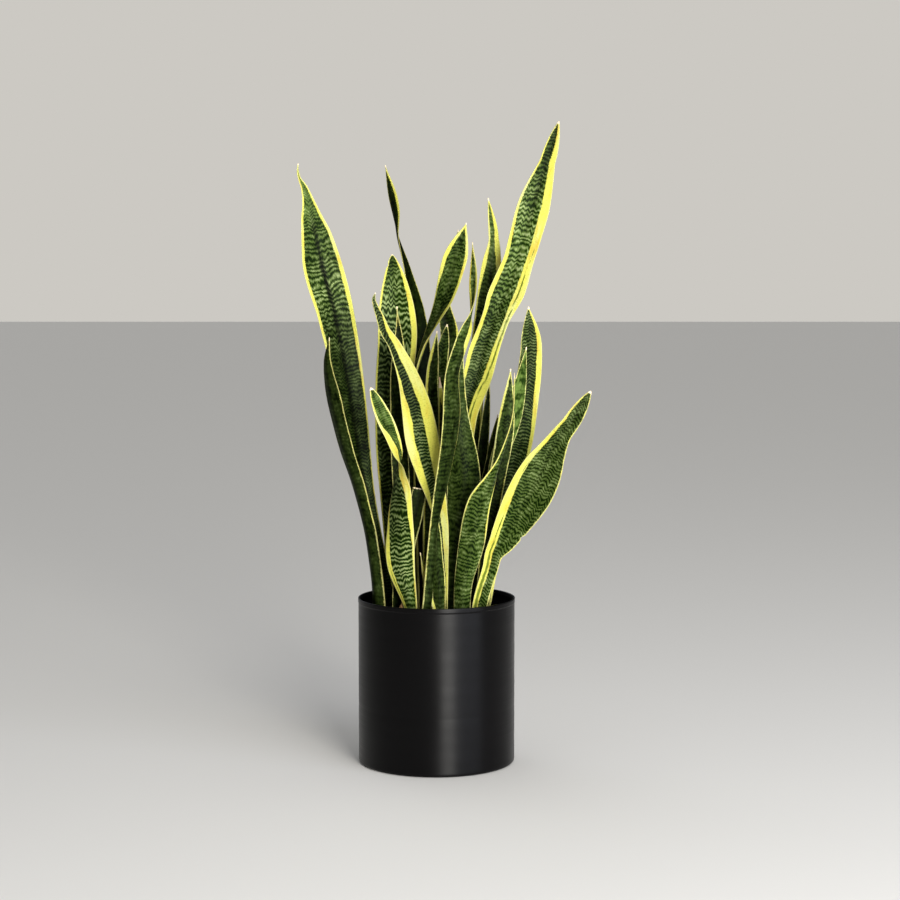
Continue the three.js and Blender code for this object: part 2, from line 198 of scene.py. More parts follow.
world = bpy.data.worlds.new("studio")
world.use_nodes = True
world_tree = world.node_tree
world_tree.nodes.clear()
seen = add(world_tree, "Background", {"Color": "#CCC9C3", "Strength": 1.0})
lighting = add(world_tree, "Background", {"Color": "#E8ECEF", "Strength": 0.08})
from_camera = add(world_tree, "LightPath", output="Is Camera Ray")
backdrop = add(world_tree, "MixShader", [from_camera, lighting, seen])
fill(world_tree, world_tree.nodes.new("ShaderNodeOutputWorld"), {"Surface": backdrop})
bpy.context.scene.world = world
bpy.context.scene.view_settings.view_transform = "Standard"
print(len(SUNS), "suns and", len(PANELS), "panels")

# %% [markdown]
# ## One way to make every piece
# Leaves, pot and soil are all closed surfaces that can be drawn as rings of points: a leaf is rings from
# foot to tip, a pot is rings round its axis. Each ring is one row of a numpy array, the two ends are
# closed with a point, and the whole array goes into the mesh at once. A piece may also carry numbers of
# its own at every point, such as the distance to the leaf's edge, and its shader reads them by name.


# %% Closed skins
def skin_faces(count, around):
    """Faces over count rings of around points, and over the two end points that come after all of them.

    Neighbouring places and rings join into four-cornered faces, and each end ring joins its end point in a
    fan of triangles."""
    places = np.arange(count * around).reshape(count, around)
    beside = np.roll(places, -1, axis=1)
    squares = np.stack([places[:-1], beside[:-1], beside[1:], places[1:]], axis=-1).reshape(-1, 4)
    first = np.stack([beside[0], places[0], np.full(around, count * around)], axis=-1)
    last = np.stack([places[-1], beside[-1], np.full(around, count * around + 1)], axis=-1)
    return squares, np.concatenate([first, last])


def halved(squares, fans):
    """The same faces as triangles only, with each square cut in two."""
    return np.concatenate([squares[:, :3], squares[:, [0, 2, 3]], fans])


def closed_skin(name, rings, start, end, finish, numbers=None, plane=None):
    """A piece over rings[ring, place, xyz] in millimetres, closed at a start and an end point.

    Its volume is the sum over its triangles of a . (b x c) / 6. If that is negative the skin is inside out,
    and every face is turned round. numbers holds one value for each point of each ring under its name, and
    plane holds flat coordinates for a UV map; the end points take the values of the rings' first places."""
    count, around = rings.shape[:2]
    squares, fans = skin_faces(count, around)
    points = np.concatenate([rings.reshape(-1, 3), [start, end]]) * MM
    a, b, c = points[halved(squares, fans)].transpose(1, 0, 2)
    volume = np.einsum("ij,ij->i", a, np.cross(b, c)).sum() / 6
    faces = squares.tolist() + fans.tolist()
    if volume < 0:
        faces = [face[::-1] for face in faces]
    mesh = bpy.data.meshes.new(name)
    mesh.from_pydata(points.tolist(), [], faces)
    mesh.polygons.foreach_set("use_smooth", np.ones(len(faces), bool))
    for label, values in (numbers or {}).items():
        values = np.broadcast_to(values, (count, around))
        whole = np.concatenate([values.ravel(), [values[0, 0], values[-1, 0]]])
        mesh.attributes.new(label, "FLOAT", "POINT").data.foreach_set("value", whole.astype(np.float32))
    if plane is not None:
        flat = np.concatenate([plane.reshape(-1, 2), plane[:1].mean(axis=1), plane[-1:].mean(axis=1)])
        corner_points = np.empty(len(mesh.loops), int)
        mesh.loops.foreach_get("vertex_index", corner_points)
        layer = mesh.uv_layers.new(name="blade")
        layer.data.foreach_set("uv", flat[corner_points].astype(np.float32).ravel())
    mesh.materials.append(finish)
    return put(name, mesh)


# %% [markdown]
# ## The curve of a leaf
# A leaf grows up from its foot, leans, bends and turns about its own length. A few rows along it say
# where its middle is, how wide it is and how far it has turned, and a smooth curve runs through them. The
# leaf's edges follow from that. Between two rows, a cubic curve that starts and ends with the slope of
# the neighbouring rows keeps the line smooth with no corner at any row.


# %% Curves through rows
def through(knots, values, at):
    """Cubic Hermite curve through values at knots: h00 v0 + h10 span m0 + h01 v1 + h11 span m1.

    A slope m is the difference of the two neighbouring values over the distance between their knots."""
    knots, values = np.asarray(knots, float), np.asarray(values, float)
    last = len(knots) - 1
    before, after = (np.clip(np.arange(last + 1) + step, 0, last) for step in (-1, 1))
    slopes = (values[after] - values[before]) / (knots[after] - knots[before])
    k = np.clip(np.searchsorted(knots, at) - 1, 0, last - 1)
    span = knots[k + 1] - knots[k]
    t = (at - knots[k]) / span
    from_start = (1 + 2 * t) * (1 - t) ** 2 * values[k] + t * (1 - t) ** 2 * span * slopes[k]
    return from_start + t * t * (3 - 2 * t) * values[k + 1] + t * t * (t - 1) * span * slopes[k + 1]


def unit(vectors):
    """The same directions with length 1."""
    return vectors / np.linalg.norm(vectors, axis=-1, keepdims=True)


# %% [markdown]
# ## The rows of each leaf
# "shape" holds x, y, z, width and turn, from foot to tip. A turn of 0 shows the hollow inner face to the
# front, 180 the rounded outer face, and 90 brings an edge forward. Past the last row with a width the
# blade runs out to a point, and "tip" says how: 1 is blunt, 2 is drawn out. "look" holds, at a few
# heights, how wide the yellow edge is on the blade's first side and on its second side, and how light the
# green is from 0 to 1. That number is mostly painted light and shade: high where a blade faces the lamps
# or carries a painted sheen, low near the foot, inside the clump and where a blade is turned away, and
# only partly a leaf's own paleness. The first side is on the viewer's left when the turn is 0.
#
# The rest have common values, and are only there where a leaf differs. "bands" holds, at a few heights,
# the spacing of the cross-bands and how strongly they show, "tooth" is the height of their zigzag, and
# "arch" how much higher they are in the middle of the blade. "keel" says how dark the middle of the
# channel is at a few heights: painted shade in the channel's hollow, and partly its thicker flesh. "line"
# is a green line inside a broad yellow edge: its side, and at a few heights its distance from the edge and
# its half width. "dry" is the length of the withered point, "hook" how far that point curls to the right,
# and "nick" a small old tear in an edge: its side, height and depth.

# %% Common values
ROOT = 206  # the foot of every leaf, below the soil's surface
TAPER = np.nan  # stands for a width that the tip's own curve gives
FIRST, SECOND = -1, 1  # the blade's two sides
COMMON = {"bands": [(ROOT, 7.5, 0.4)], "keel": [(ROOT, 0.35)], "tooth": 3, "arch": 0, "dry": 4, "hook": 0}
LEAVES = {}

# %% [markdown]
# On the left stand the tall outer leaf, a broad one with the strongest zigzag, a folded one, a narrow one
# and a twisted one that shows its rounded back low down. The one with broad gold edges starts in the
# middle and leans over to this side.

# %% Leaves on the left
LEAVES["leaf_tall_left"] = {
    "tip": 1,
    "shape": [
        (-72, 16, ROOT, 26, -30), (-88, 22, 300, 24, -30), (-109, 28, 400, 26, -30),
        (-127, 34, 500, 40, -28), (-142, 38, 600, 52, -25), (-164.5, 40, 720, 63, -22),
        (-183, 38, 790, 65, -18), (-192, 35.5, 838, 51, -16), (-199, 33.5, 868, 36, -15),
        (-203.5, 32, 892, 22, -14), (-210, 30, 916, 11.5, -12), (-218, 27.5, 933, 4.5, -11),
        (-222, 26, 955, TAPER, -10),
    ],
    "look": [
        (ROOT, 1.5, 1.6, 0.12), (470, 2.2, 1.8, 0.16), (530, 2.8, 2.2, 0.14), (585, 3.6, 3, 0.14),
        (640, 4.4, 5, 0.08), (700, 5, 6.2, 0.22), (750, 4.8, 7, 0.55), (795, 4.7, 5.8, 0.45),
        (816, 4.6, 5.6, 0.45), (861, 3.9, 4.4, 0.65), (898, 2.8, 3, 0.75), (925, 2, 1.4, 0.75),
        (955, 1.4, 1, 0.75),
    ],
    "bands": [
        (ROOT, 5, 0.6), (600, 5.5, 0.6), (680, 7, 0.8), (750, 8.5, 1), (850, 7.5, 0.7), (890, 5, 0.3),
    ],
    "keel": [(640, 0.75), (780, 0.9), (850, 0.7), (885, 0)], "tooth": 4.5, "arch": -3, "dry": 2, "hook": 3,
}
LEAVES["leaf_left_folded"] = {
    "tip": 1,
    "shape": [
        (-92, -14, ROOT, 24, -150), (-98.5, -18, 300, 26, -140), (-114.5, -22, 400, 30, -132),
        (-144, -26, 500, 38, -128), (-161.5, -28, 570, 40, -128), (-172.5, -28, 640, TAPER, -128),
        (-168, -27, 681, TAPER, -128),
    ],
    "look": [(ROOT, 1, 0.6, 0.12), (420, 1.3, 0.7, 0.1), (560, 1.3, 0.8, 0.08), (681, 1.2, 0.8, 0.16)],
    "bands": [(ROOT, 7, 0.25)], "tooth": 2,
}
LEAVES["leaf_front_left_twisted"] = {
    "tip": 0.6,
    "shape": [
        (-38, -62, ROOT, 20, 180), (-40, -65, 255, 21, 182), (-56, -72, 325, 44, 186),
        (-59, -79, 390, 46, 207), (-56.5, -84, 440, 40, 220), (-58.5, -86, 466, 37, 236),
        (-57, -88, 486, 34, 264), (-61.5, -90, 503, 32, 294), (-71.5, -92, 535, 29, 317),
        (-85, -95, 568, TAPER, 335), (-101, -98, 606, TAPER, 345),
    ],
    "look": [
        (ROOT, 1.5, 3, 0.36), (270, 2, 4.5, 0.56), (310, 2.6, 7.5, 0.52), (360, 3, 7.5, 0.46),
        (385, 4.6, 5, 0.36), (405, 6.5, 2.5, 0.34), (430, 8.5, 0.4, 0.3), (460, 12, 0.4, 0.3),
        (484, 17, 2, 0.34), (508, 20, 4, 0.42), (531, 12, 4, 0.65), (548, 4.5, 3, 0.75),
        (575, 2.8, 2.4, 0.85), (606, 1.2, 1.2, 0.8),
    ],
    "line": (SECOND, [(245, 2.6, 0.7), (300, 4.4, 0.9), (370, 4.4, 0.9), (390, 3.4, 0.5)]),
    "bands": [
        (ROOT, 7, 0.5), (280, 7, 0.9), (320, 7, 1.5), (400, 7.5, 1.3), (490, 7, 0.9), (530, 3.7, 0.35),
    ],
    "tooth": 4.5,
}
LEAVES["leaf_broad_zigzag"] = {
    "tip": 0.7,
    "shape": [
        (-56, 38, ROOT, 28, 8), (-64, 46, 300, 32, 6), (-69, 54, 400, 40, 5), (-73, 60, 500, 50, 4),
        (-69, 66, 600, 60, 2), (-63.3, 70, 680, 63.5, 0), (-67, 74, 760, TAPER, 0),
        (-72, 77, 812, TAPER, 0),
    ],
    "look": [
        (ROOT, 1.6, 3, 0.12), (500, 2.8, 5, 0.25), (600, 2.8, 7, 0.2), (640, 2.8, 8.7, 0.22),
        (694, 2.8, 9, 0.52), (720, 3, 9.6, 0.68), (747, 3.2, 7.3, 0.68), (774, 3.4, 5.4, 0.6),
        (792, 2.8, 3.2, 0.5), (812, 1, 1, 0.45),
    ],
    "nick": (FIRST, 795, 2.5),
    "bands": [
        (ROOT, 7, 0.6), (600, 7.5, 1), (650, 10, 1.5), (720, 10.5, 1.4), (760, 8, 0.9), (812, 6, 0.5),
    ],
    "keel": [(ROOT, 0.15)], "tooth": 5.5, "dry": 1.5,
}
LEAVES["leaf_inner_left_narrow"] = {
    "tip": 1.3,
    "shape": [
        (-37, -5, ROOT, 22, 0), (-48, -3, 330, 24, 0), (-58, 0, 480, 28, -4), (-60, 8, 600, 28, -5),
        (-60, 14, 680, TAPER, -5), (-63, 18, 729, TAPER, -5),
    ],
    "look": [(ROOT, 1, 1, 0.02), (640, 1.2, 1.2, 0.03), (729, 1.4, 1.2, 0.08)],
    "dry": 3,
}
LEAVES["leaf_gold_edged"] = {
    "tip": 1,
    "shape": [
        (9, -36, ROOT, 18, 10), (10, -37, 300, 19, 8), (11, -40, 365, 18, 5), (9.5, -41, 388, 20, 5),
        (5, -42.5, 410, 25.5, 4), (-3, -45, 445, 35.5, 0), (-10, -49, 470, 42, -2),
        (-22, -54, 520, 52.5, -5), (-32, -57, 576, 46, -6), (-44.5, -60, 622, 33, -8),
        (-65, -62, 670, 20, -10), (-79.5, -62, 692, 16.5, -10), (-88, -62, 715, 12.5, -10),
        (-97, -62, 739, 6, -10), (-99, -62, 751, TAPER, -10),
    ],
    "look": [
        (ROOT, 1.5, 1, 0.15), (254, 1.5, 1.6, 0.15), (304, 1.5, 4.4, 0.15), (340, 1.5, 7.5, 0.2),
        (378, 1.5, 10.3, 0.2), (410, 3, 12.5, 0.25), (440, 8, 13, 0.35), (470, 12, 15, 0.4),
        (500, 15, 17, 0.35), (550, 15, 18, 0.25), (575, 11.5, 17, 0.12), (600, 6, 17, 0.08),
        (632, 2.8, 14.5, 0.08), (650, 1.4, 14, 0.12), (664, 1.2, 11, 0.15), (680, 1.2, 8.7, 0.15),
        (695, 1.2, 5, 0.15), (712, 1, 2.4, 0.2), (735, 0.6, 0.8, 0.3), (751, 0.4, 0.5, 0.3),
    ],
    "bands": [(ROOT, 5.4, 1.1)], "keel": [(ROOT, 0.1)], "tooth": 1, "arch": 4, "dry": 2, "hook": 5,
}
print("on the left:", len(LEAVES), "leaves")

# %% [markdown]
# The middle of the clump is a thicket. Two leaves stand in front, one of them slender and twisted near its
# top, and a broad dark one stands behind them. Most of the others show only as strips or tips between
# their neighbours, so they need few rows.

# %% Leaves in the middle
LEAVES["leaf_front_centre_slender"] = {
    "tip": 1.2,
    "shape": [
        (-18, -78, ROOT, 18.5, 140), (-8, -82, 300, 19.5, 136), (-0.5, -86, 390, 21.5, 130),
        (17, -91, 480, 34, 130), (28, -95, 560, 42, 130), (28, -98, 625, 36, 127),
        (39.5, -100, 668, 31, 134), (49, -100, 696, 29, 126), (55, -101, 722, 25, 90),
        (58, -101, 744, 24, 70), (58.5, -101, 782, TAPER, 50), (56, -101, 829, TAPER, 40),
    ],
    "look": [
        (ROOT, 1.2, 0.8, 0.12), (420, 1.2, 1, 0.12), (560, 2, 1.2, 0.14), (655, 2.4, 1.2, 0.2),
        (672, 13, 1.2, 0.35), (700, 13, 1.2, 0.35), (722, 11, 2, 0.45), (745, 7, 4.5, 0.6),
        (765, 3.5, 4.5, 0.8), (800, 2.6, 2, 0.85), (829, 1.2, 1, 0.8),
    ],
    "bands": [(ROOT, 9, 0.4), (400, 7.5, 0.4), (520, 6.6, 0.4)], "tooth": 1.6, "arch": 2.5,
}
LEAVES["leaf_front_centre_short"] = {
    "tip": 1.2,
    "shape": [
        (6, -58, ROOT, 16, 175), (4, -60, 290, 22, 175), (0, -65, 350, 20, 170), (-2, -70, 425, TAPER, 170),
    ],
    "look": [(ROOT, 1.2, 1.2, 0.12), (425, 1.3, 1.3, 0.2)],
}
LEAVES["leaf_centre_broad_dark"] = {
    "tip": 1.3,
    "shape": [
        (26, -26, ROOT, 26, 175), (31, -28, 300, 34, 175), (41, -30, 400, 50, 178), (43, -32, 460, 54, 180),
        (31, -34, 560, TAPER, 180), (36, -36, 640, TAPER, 180), (43, -36, 696, TAPER, 180),
    ],
    "look": [(ROOT, 1.2, 1, 0.14), (460, 1.2, 0.8, 0.2), (600, 1.2, 1, 0.2), (696, 1.2, 1, 0.28)],
    "bands": [(ROOT, 9, 0.4), (560, 7, 0.4)], "tooth": 4,
}
LEAVES["leaf_rear_left_twisted"] = {
    "tip": 1.2,
    "shape": [
        (-18, 50, ROOT, 26, -20), (-21, 64, 350, 34, -25), (-26, 82, 500, 42, -30), (-29, 94, 620, 44, -35),
        (-35, 102, 715, 38, -45), (-50, 108, 787, 27, -65), (-64, 112, 840, 24, -90),
        (-69, 114, 888, 22, -130), (-84, 116, 957, TAPER, -150),
    ],
    "look": [
        (ROOT, 1.2, 1.6, 0), (700, 1.2, 1.6, 0), (840, 2, 1.6, 0), (900, 4, 1.6, 0.02), (957, 1.5, 1, 0.05),
    ],
    "bands": [(ROOT, 7.5, 0.15)],
}
LEAVES["leaf_rear_centre"] = {
    "tip": 1.1,
    "shape": [
        (-28, 14, ROOT, 22, 60), (-32, 17, 330, 26, 60), (-37, 22, 480, 30, 70), (-36, 28, 600, 34, 78),
        (-20, 36, 660, 36, 80), (-2, 44, 702, 38, 60), (14, 52, 740, 40, 38), (28.5, 58, 798, 40, 10),
        (48, 64, 862, TAPER, 0),
    ],
    "look": [
        (ROOT, 1.2, 5, 0.12), (600, 1.2, 8, 0.2), (702, 1.2, 7.5, 0.25), (755, 2, 4.5, 0.38),
        (780, 5.5, 4.2, 0.45), (815, 7, 4.8, 0.45), (840, 4.4, 4, 0.45), (862, 2.5, 2.5, 0.45),
    ],
    "bands": [(ROOT, 7, 0.5)], "dry": 1.5,
}
LEAVES["leaf_rear_centre_second"] = {
    "tip": 1,
    "shape": [
        (14, 62, ROOT, 22, 0), (16, 80, 380, 30, 0), (19, 96, 560, 34, 0), (21, 104, 680, 30, 0),
        (12, 108, 738, 20, 10), (25, 112, 797, 13, 20), (35, 115, 852, TAPER, 20),
    ],
    "look": [
        (ROOT, 1, 3, 0.05), (680, 1, 4, 0.08), (700, 1, 1.5, 0.1), (740, 1, 1.5, 0.1),
        (797, 1.4, 1.2, 0.15), (852, 1, 1, 0.2),
    ],
}
LEAVES["leaf_inner_centre_left"] = {
    "tip": 0.9,
    "shape": [
        (-9, 6, ROOT, 22, 0), (-9, 6, 350, 26, 0), (-6, 8, 500, 26, 0), (-7, 10, 610, 20, 0),
        (1, 12, 690, TAPER, 0),
    ],
    "look": [(ROOT, 2, 1, 0.08), (560, 4, 1, 0.12), (660, 4, 1, 0.15), (690, 1.6, 1, 0.2)],
}
LEAVES["leaf_inner_centre_right"] = {
    "tip": 0.8,
    "shape": [
        (8, 25, ROOT, 22, 0), (9, 30, 350, 24, 0), (8, 34, 500, 22, 20), (8, 37, 610, 20, 25),
        (10, 38, 655, 19, 0), (17, 39, 700, TAPER, 0),
    ],
    "look": [(ROOT, 0.8, 1, 0.1), (600, 0.8, 1, 0.3), (700, 0.8, 1, 0.45)],
    "bands": [(ROOT, 6, 0.4)],
}
LEAVES["leaf_inner_dry_tip"] = {
    "tip": 0.9,
    "shape": [
        (8, -10, ROOT, 18, 10), (10, -11, 350, 22, 0), (14, -12, 500, 20, 0), (5, -13, 618, TAPER, 0),
    ],
    "look": [(ROOT, 1.2, 3, 0.05), (500, 1.5, 4, 0.1), (580, 2.5, 6, 0.15), (618, 2, 6, 0.2)],
    "bands": [(ROOT, 7.5, 0.5)], "dry": 17,
}
print("up to the middle:", len(LEAVES), "leaves")

# %% [markdown]
# The right side holds two leaves that catch the eye. One leans far out and has a broad yellow edge on its
# left, and the tallest of all rises behind it with a broad yellow edge on its right.

# %% Leaves on the right
LEAVES["leaf_rear_right"] = {
    "tip": 0.9,
    "shape": [
        (45, 64, ROOT, 24, 0), (50, 78, 320, 28, 0), (56, 92, 450, 30, 0), (64, 104, 600, 30, 0),
        (85, 112, 730, 42, 0), (89, 116, 792, 33, -5), (93, 119, 837, 17, -8), (84, 122, 904, TAPER, -8),
    ],
    "look": [
        (ROOT, 2, 4, 0.1), (600, 3, 4, 0.15), (700, 2.5, 6, 0.2), (740, 2.5, 7, 0.28), (770, 5, 9, 0.38),
        (795, 7.5, 8.5, 0.36), (819, 4.5, 9, 0.46), (840, 2.6, 7, 0.66), (860, 2.4, 5, 0.8),
        (904, 1.4, 1.4, 0.9),
    ],
    "bands": [(ROOT, 7, 0.45)], "keel": [(770, 0.8), (820, 0.3)],
}
LEAVES["leaf_rear_right_slender"] = {
    "tip": 0.8,
    "shape": [(52, 42, ROOT, 16, 0), (64, 60, 350, 20, 0), (74, 74, 480, 18, 0), (86, 84, 611, TAPER, 0)],
    "look": [(ROOT, 1.1, 1.1, 0.06), (611, 1.2, 1.2, 0.08)],
    "bands": [(ROOT, 7.5, 0.3)],
}
LEAVES["leaf_right_inner"] = {
    "tip": 1,
    "shape": [
        (68, -12, ROOT, 22, -10), (76, -16, 300, 24, -10), (89, -22, 420, 26, -12),
        (106, -28, 520, 30, -15), (113, -31, 585, TAPER, -15), (117, -33, 632, TAPER, -15),
    ],
    "look": [
        (ROOT, 1.6, 1.2, 0.06), (500, 2.4, 1.4, 0.08), (530, 2.6, 1.4, 0.24), (565, 3.4, 1.4, 0.32),
        (600, 3.4, 1.4, 0.35), (632, 1.4, 1.2, 0.35),
    ],
    "bands": [(ROOT, 7, 0.4)],
}
LEAVES["leaf_front_right_twisted"] = {
    "tip": 1,
    "shape": [
        (41, -64, ROOT, 26, 180), (42, -67, 290, 28, 180), (56, -72, 360, 41, 176), (68, -77, 420, 40, 160),
        (88, -80, 462, 36, 125), (103, -82, 500, 32, 98), (119.5, -82, 560, TAPER, 90),
        (121.5, -80, 628, TAPER, 88),
    ],
    "look": [
        (ROOT, 0.5, 0.4, 0.32), (340, 0.5, 0.5, 0.44), (360, 0.7, 0.7, 0.44), (378, 2.4, 1, 0.4),
        (426, 2.6, 2, 0.42), (480, 2.4, 2.6, 0.45), (560, 2, 3, 0.5), (628, 1.2, 1.4, 0.45),
    ],
    "bands": [(ROOT, 6.5, 0.6)], "keel": [(ROOT, 0.2)], "tooth": 2.2, "dry": 8,
}
LEAVES["leaf_right_pale"] = {
    "tip": 1,
    "shape": [
        (73, 12, ROOT, 18, -25), (79, 12, 300, 22, -25), (88, 10, 400, 28, -25), (96, 8, 480, 30, -25),
        (118, 6, 545, 32, -25), (133, 4, 610, TAPER, -25), (143, 2, 665, TAPER, -25),
    ],
    "look": [(ROOT, 1, 1, 0.2), (420, 1, 1, 0.45), (500, 1, 0.8, 0.95), (665, 0.7, 0.7, 1)],
    "bands": [(ROOT, 7.5, 0.08)], "keel": [(ROOT, 0)],
}
LEAVES["leaf_right_inner_pale"] = {
    "tip": 1.1,
    "shape": [
        (44, 4, ROOT, 22, 0), (56, 12, 300, 26, 0), (77, 20, 420, 26, -5), (92, 24, 490, 24, -8),
        (98, 25, 556, TAPER, -8),
    ],
    "look": [(ROOT, 1, 1, 0.04), (450, 1, 1, 0.08), (556, 1, 1, 0.3)],
    "bands": [(ROOT, 7.5, 0.25)],
}
LEAVES["leaf_rear_far_right"] = {
    "tip": 1,
    "shape": [
        (68, 34, ROOT, 22, -15), (84, 42, 300, 26, -15), (104, 50, 400, 34, -15), (131.5, 56, 500, 42, -15),
        (146.3, 60, 600, 41.5, -12), (152.3, 63, 660, 35.5, -10), (148, 65, 728, TAPER, -10),
    ],
    "look": [
        (ROOT, 1, 3, 0.15), (450, 1, 4.5, 0.25), (513, 1, 5.5, 0.3), (567, 1, 8, 0.26), (634, 1, 9.2, 0.27),
        (674, 1, 7.5, 0.32), (700, 1, 4.5, 0.35), (728, 0.8, 1.2, 0.4),
    ],
    "bands": [(ROOT, 6.8, 0.8), (600, 5, 1)], "keel": [(ROOT, 0.3)], "tooth": 4, "arch": 3,
}
LEAVES["leaf_right_leaning"] = {
    "tip": 0.7,
    "shape": [
        (61, -38, ROOT, 24, 5), (71.5, -42, 270, 24, 5), (85.5, -45.5, 317, 25, 8), (91.5, -47, 341, 29, 9),
        (105.8, -50, 364, 43, 10), (133, -55, 412, 64.5, 10), (147, -57, 436, 70, 10),
        (158.6, -59, 459, 69, 10), (169.7, -61, 482, 61, 9), (180.5, -62.5, 503, 46.5, 8),
        (195, -64, 529, 32, 6), (211.5, -66, 551, 27, 5), (241, -68, 599, TAPER, 0),
    ],
    "look": [
        (ROOT, 7.6, 1, 0.35), (272, 9, 1.2, 0.64), (312, 10.5, 1.4, 0.66), (360, 12.5, 1.4, 0.54),
        (412, 13, 1.4, 0.4), (436, 11, 1.4, 0.38), (459, 10, 1.4, 0.36), (482, 8.2, 1.4, 0.34),
        (520, 5.4, 1.4, 0.3), (560, 3.4, 1.4, 0.28), (599, 1, 1, 0.28),
    ],
    "line": (FIRST, [
        (215, 5, 2.4), (272, 5.5, 2.4), (312, 6.4, 2.2), (360, 8.6, 1.6), (400, 9.6, 0.9), (450, 9, 0.6),
        (500, 5.5, 0.4),
    ]),
    "nick": (SECOND, 380, 3.5), "bands": [(ROOT, 6, 0.7), (500, 5.6, 0.7)], "keel": [(ROOT, 0.25)],
    "arch": 6,
}
LEAVES["leaf_tallest_right"] = {
    "tip": 0.75,
    "shape": [
        (37, 27, ROOT, 26, 0), (36, 34, 300, 34, 0), (34, 42, 420, 38, 0), (43, 50, 550, 44, 0),
        (66.5, 56, 617, 47.5, 3), (75.5, 58, 652, 48.5, 5), (89, 61, 690, 45, 7), (98, 63, 714, 46.5, 8),
        (108, 65, 738, 55, 8), (117.3, 66.5, 758, 56.5, 8), (132, 70, 800, 49.5, 7),
        (142.3, 72, 836, 51.5, 5), (158, 76, 894, 51.5, 0), (179, 80, 961, 25.5, 0),
        (197, 83, 1025, TAPER, 0),
    ],
    "look": [
        (ROOT, 2, 3, 0.1), (420, 3, 6, 0.15), (550, 5, 14, 0.16), (593, 6, 17, 0.2), (617, 6, 15, 0.26),
        (641, 6.5, 13, 0.3), (666, 7.2, 11.3, 0.34), (690, 5.8, 9.3, 0.38), (714, 5.8, 9.3, 0.42),
        (738, 7.2, 15.5, 0.54), (758, 7.4, 17, 0.62), (802, 6, 13, 0.74), (837, 5, 13, 0.8),
        (871, 4.2, 14.5, 0.72), (916, 3.3, 13, 0.52), (960, 2.5, 9.5, 0.35), (985, 2, 7, 0.3),
        (1005, 1.8, 4.5, 0.3), (1025, 1.2, 2.2, 0.3),
    ],
    "line": (SECOND, [
        (430, 5, 1.2), (593, 13, 1.6), (617, 9, 1.6), (650, 5.5, 1.4), (690, 3.8, 1.5), (714, 4.2, 1.5),
        (738, 9, 1.5), (758, 10.5, 1.4), (802, 6.9, 1.2), (828, 5.4, 0.4),
    ]),
    "bands": [(ROOT, 5, 0.8), (600, 5, 0.8), (700, 6, 0.8), (760, 9, 0.8), (900, 8, 0.9), (1000, 6, 0.6)],
    "keel": [(700, 0.45), (820, 0.3), (900, 0.5)], "arch": 4,
}
print("up to the right side:", len(LEAVES), "leaves")

# %% [markdown]
# Three small pieces stand low in the clump: a leaf that was cut off, a young leaf as narrow as a quill,
# and the papery sheath.

# %% Short leaves and the sheath
LEAVES["leaf_cut_short"] = {
    "shape": [
        (-58, -26, ROOT, 22, 0), (-56, -28, 290, 26, 0), (-46, -31, 355, 26, -5), (-33.5, -33, 402, 24, -5),
        (-25.5, -34, 443, 23, -5),
    ],
    "look": [(ROOT, 0.8, 1.2, 0.02), (443, 0.9, 1.8, 0.03)],
    "bands": [(ROOT, 7.5, 0.2)], "dry": 1.2,
}
LEAVES["leaf_inner_left_short"] = {
    "tip": 1.1,
    "shape": [
        (5, -69, ROOT, 8, 130), (-2.5, -67.5, 256, 7, 130), (-17, -65.5, 300, 6.5, 130),
        (-25, -64, 345, TAPER, 130),
    ],
    "look": [(ROOT, 4, 4, 0.12), (345, 4, 4, 0.2)],
    "bands": [(ROOT, 7.5, 0.3)],
}
LEAVES["basal_sheath"] = {
    "tip": 0.9,
    "shape": [(-55, -50, ROOT, 20, 180), (-55, -52, 235, 17, 180), (-54, -55, 265, TAPER, 180)],
    "look": [(ROOT, 0, 0, 0.5), (265, 0, 0, 0.5)],
}
print(len(LEAVES), "blades,", sum(len(leaf["shape"]) for leaf in LEAVES.values()), "rows")

# %% [markdown]
# ## The blade as a surface
# Cut across, a leaf is a shallow channel: thick in the middle, thin and rounded at both edges. So the
# blade is a function of two numbers: how far along it a point is, and how far across. The edge of a
# living leaf is never quite true, so a slow ripple of well under a millimetre runs along each edge.

# %% Blade sections
FOLD = (0.27, 0.17, 0.11, 0.07)  # channel depth as a share of the width, from foot to tip
THICK = (6.4, 3.8, 2.8, 1.8)  # greatest thickness, from foot to tip
PLUMPEST = 0.45  # a blade is never thicker than this share of its width
KEEL = 0.25  # roundness of the channel's floor, as a share of the half width
AWL = 1.9  # width of the hard point that a tip rolls up into
HOOKED = 16  # length at the tip that curls, where a leaf has a hook


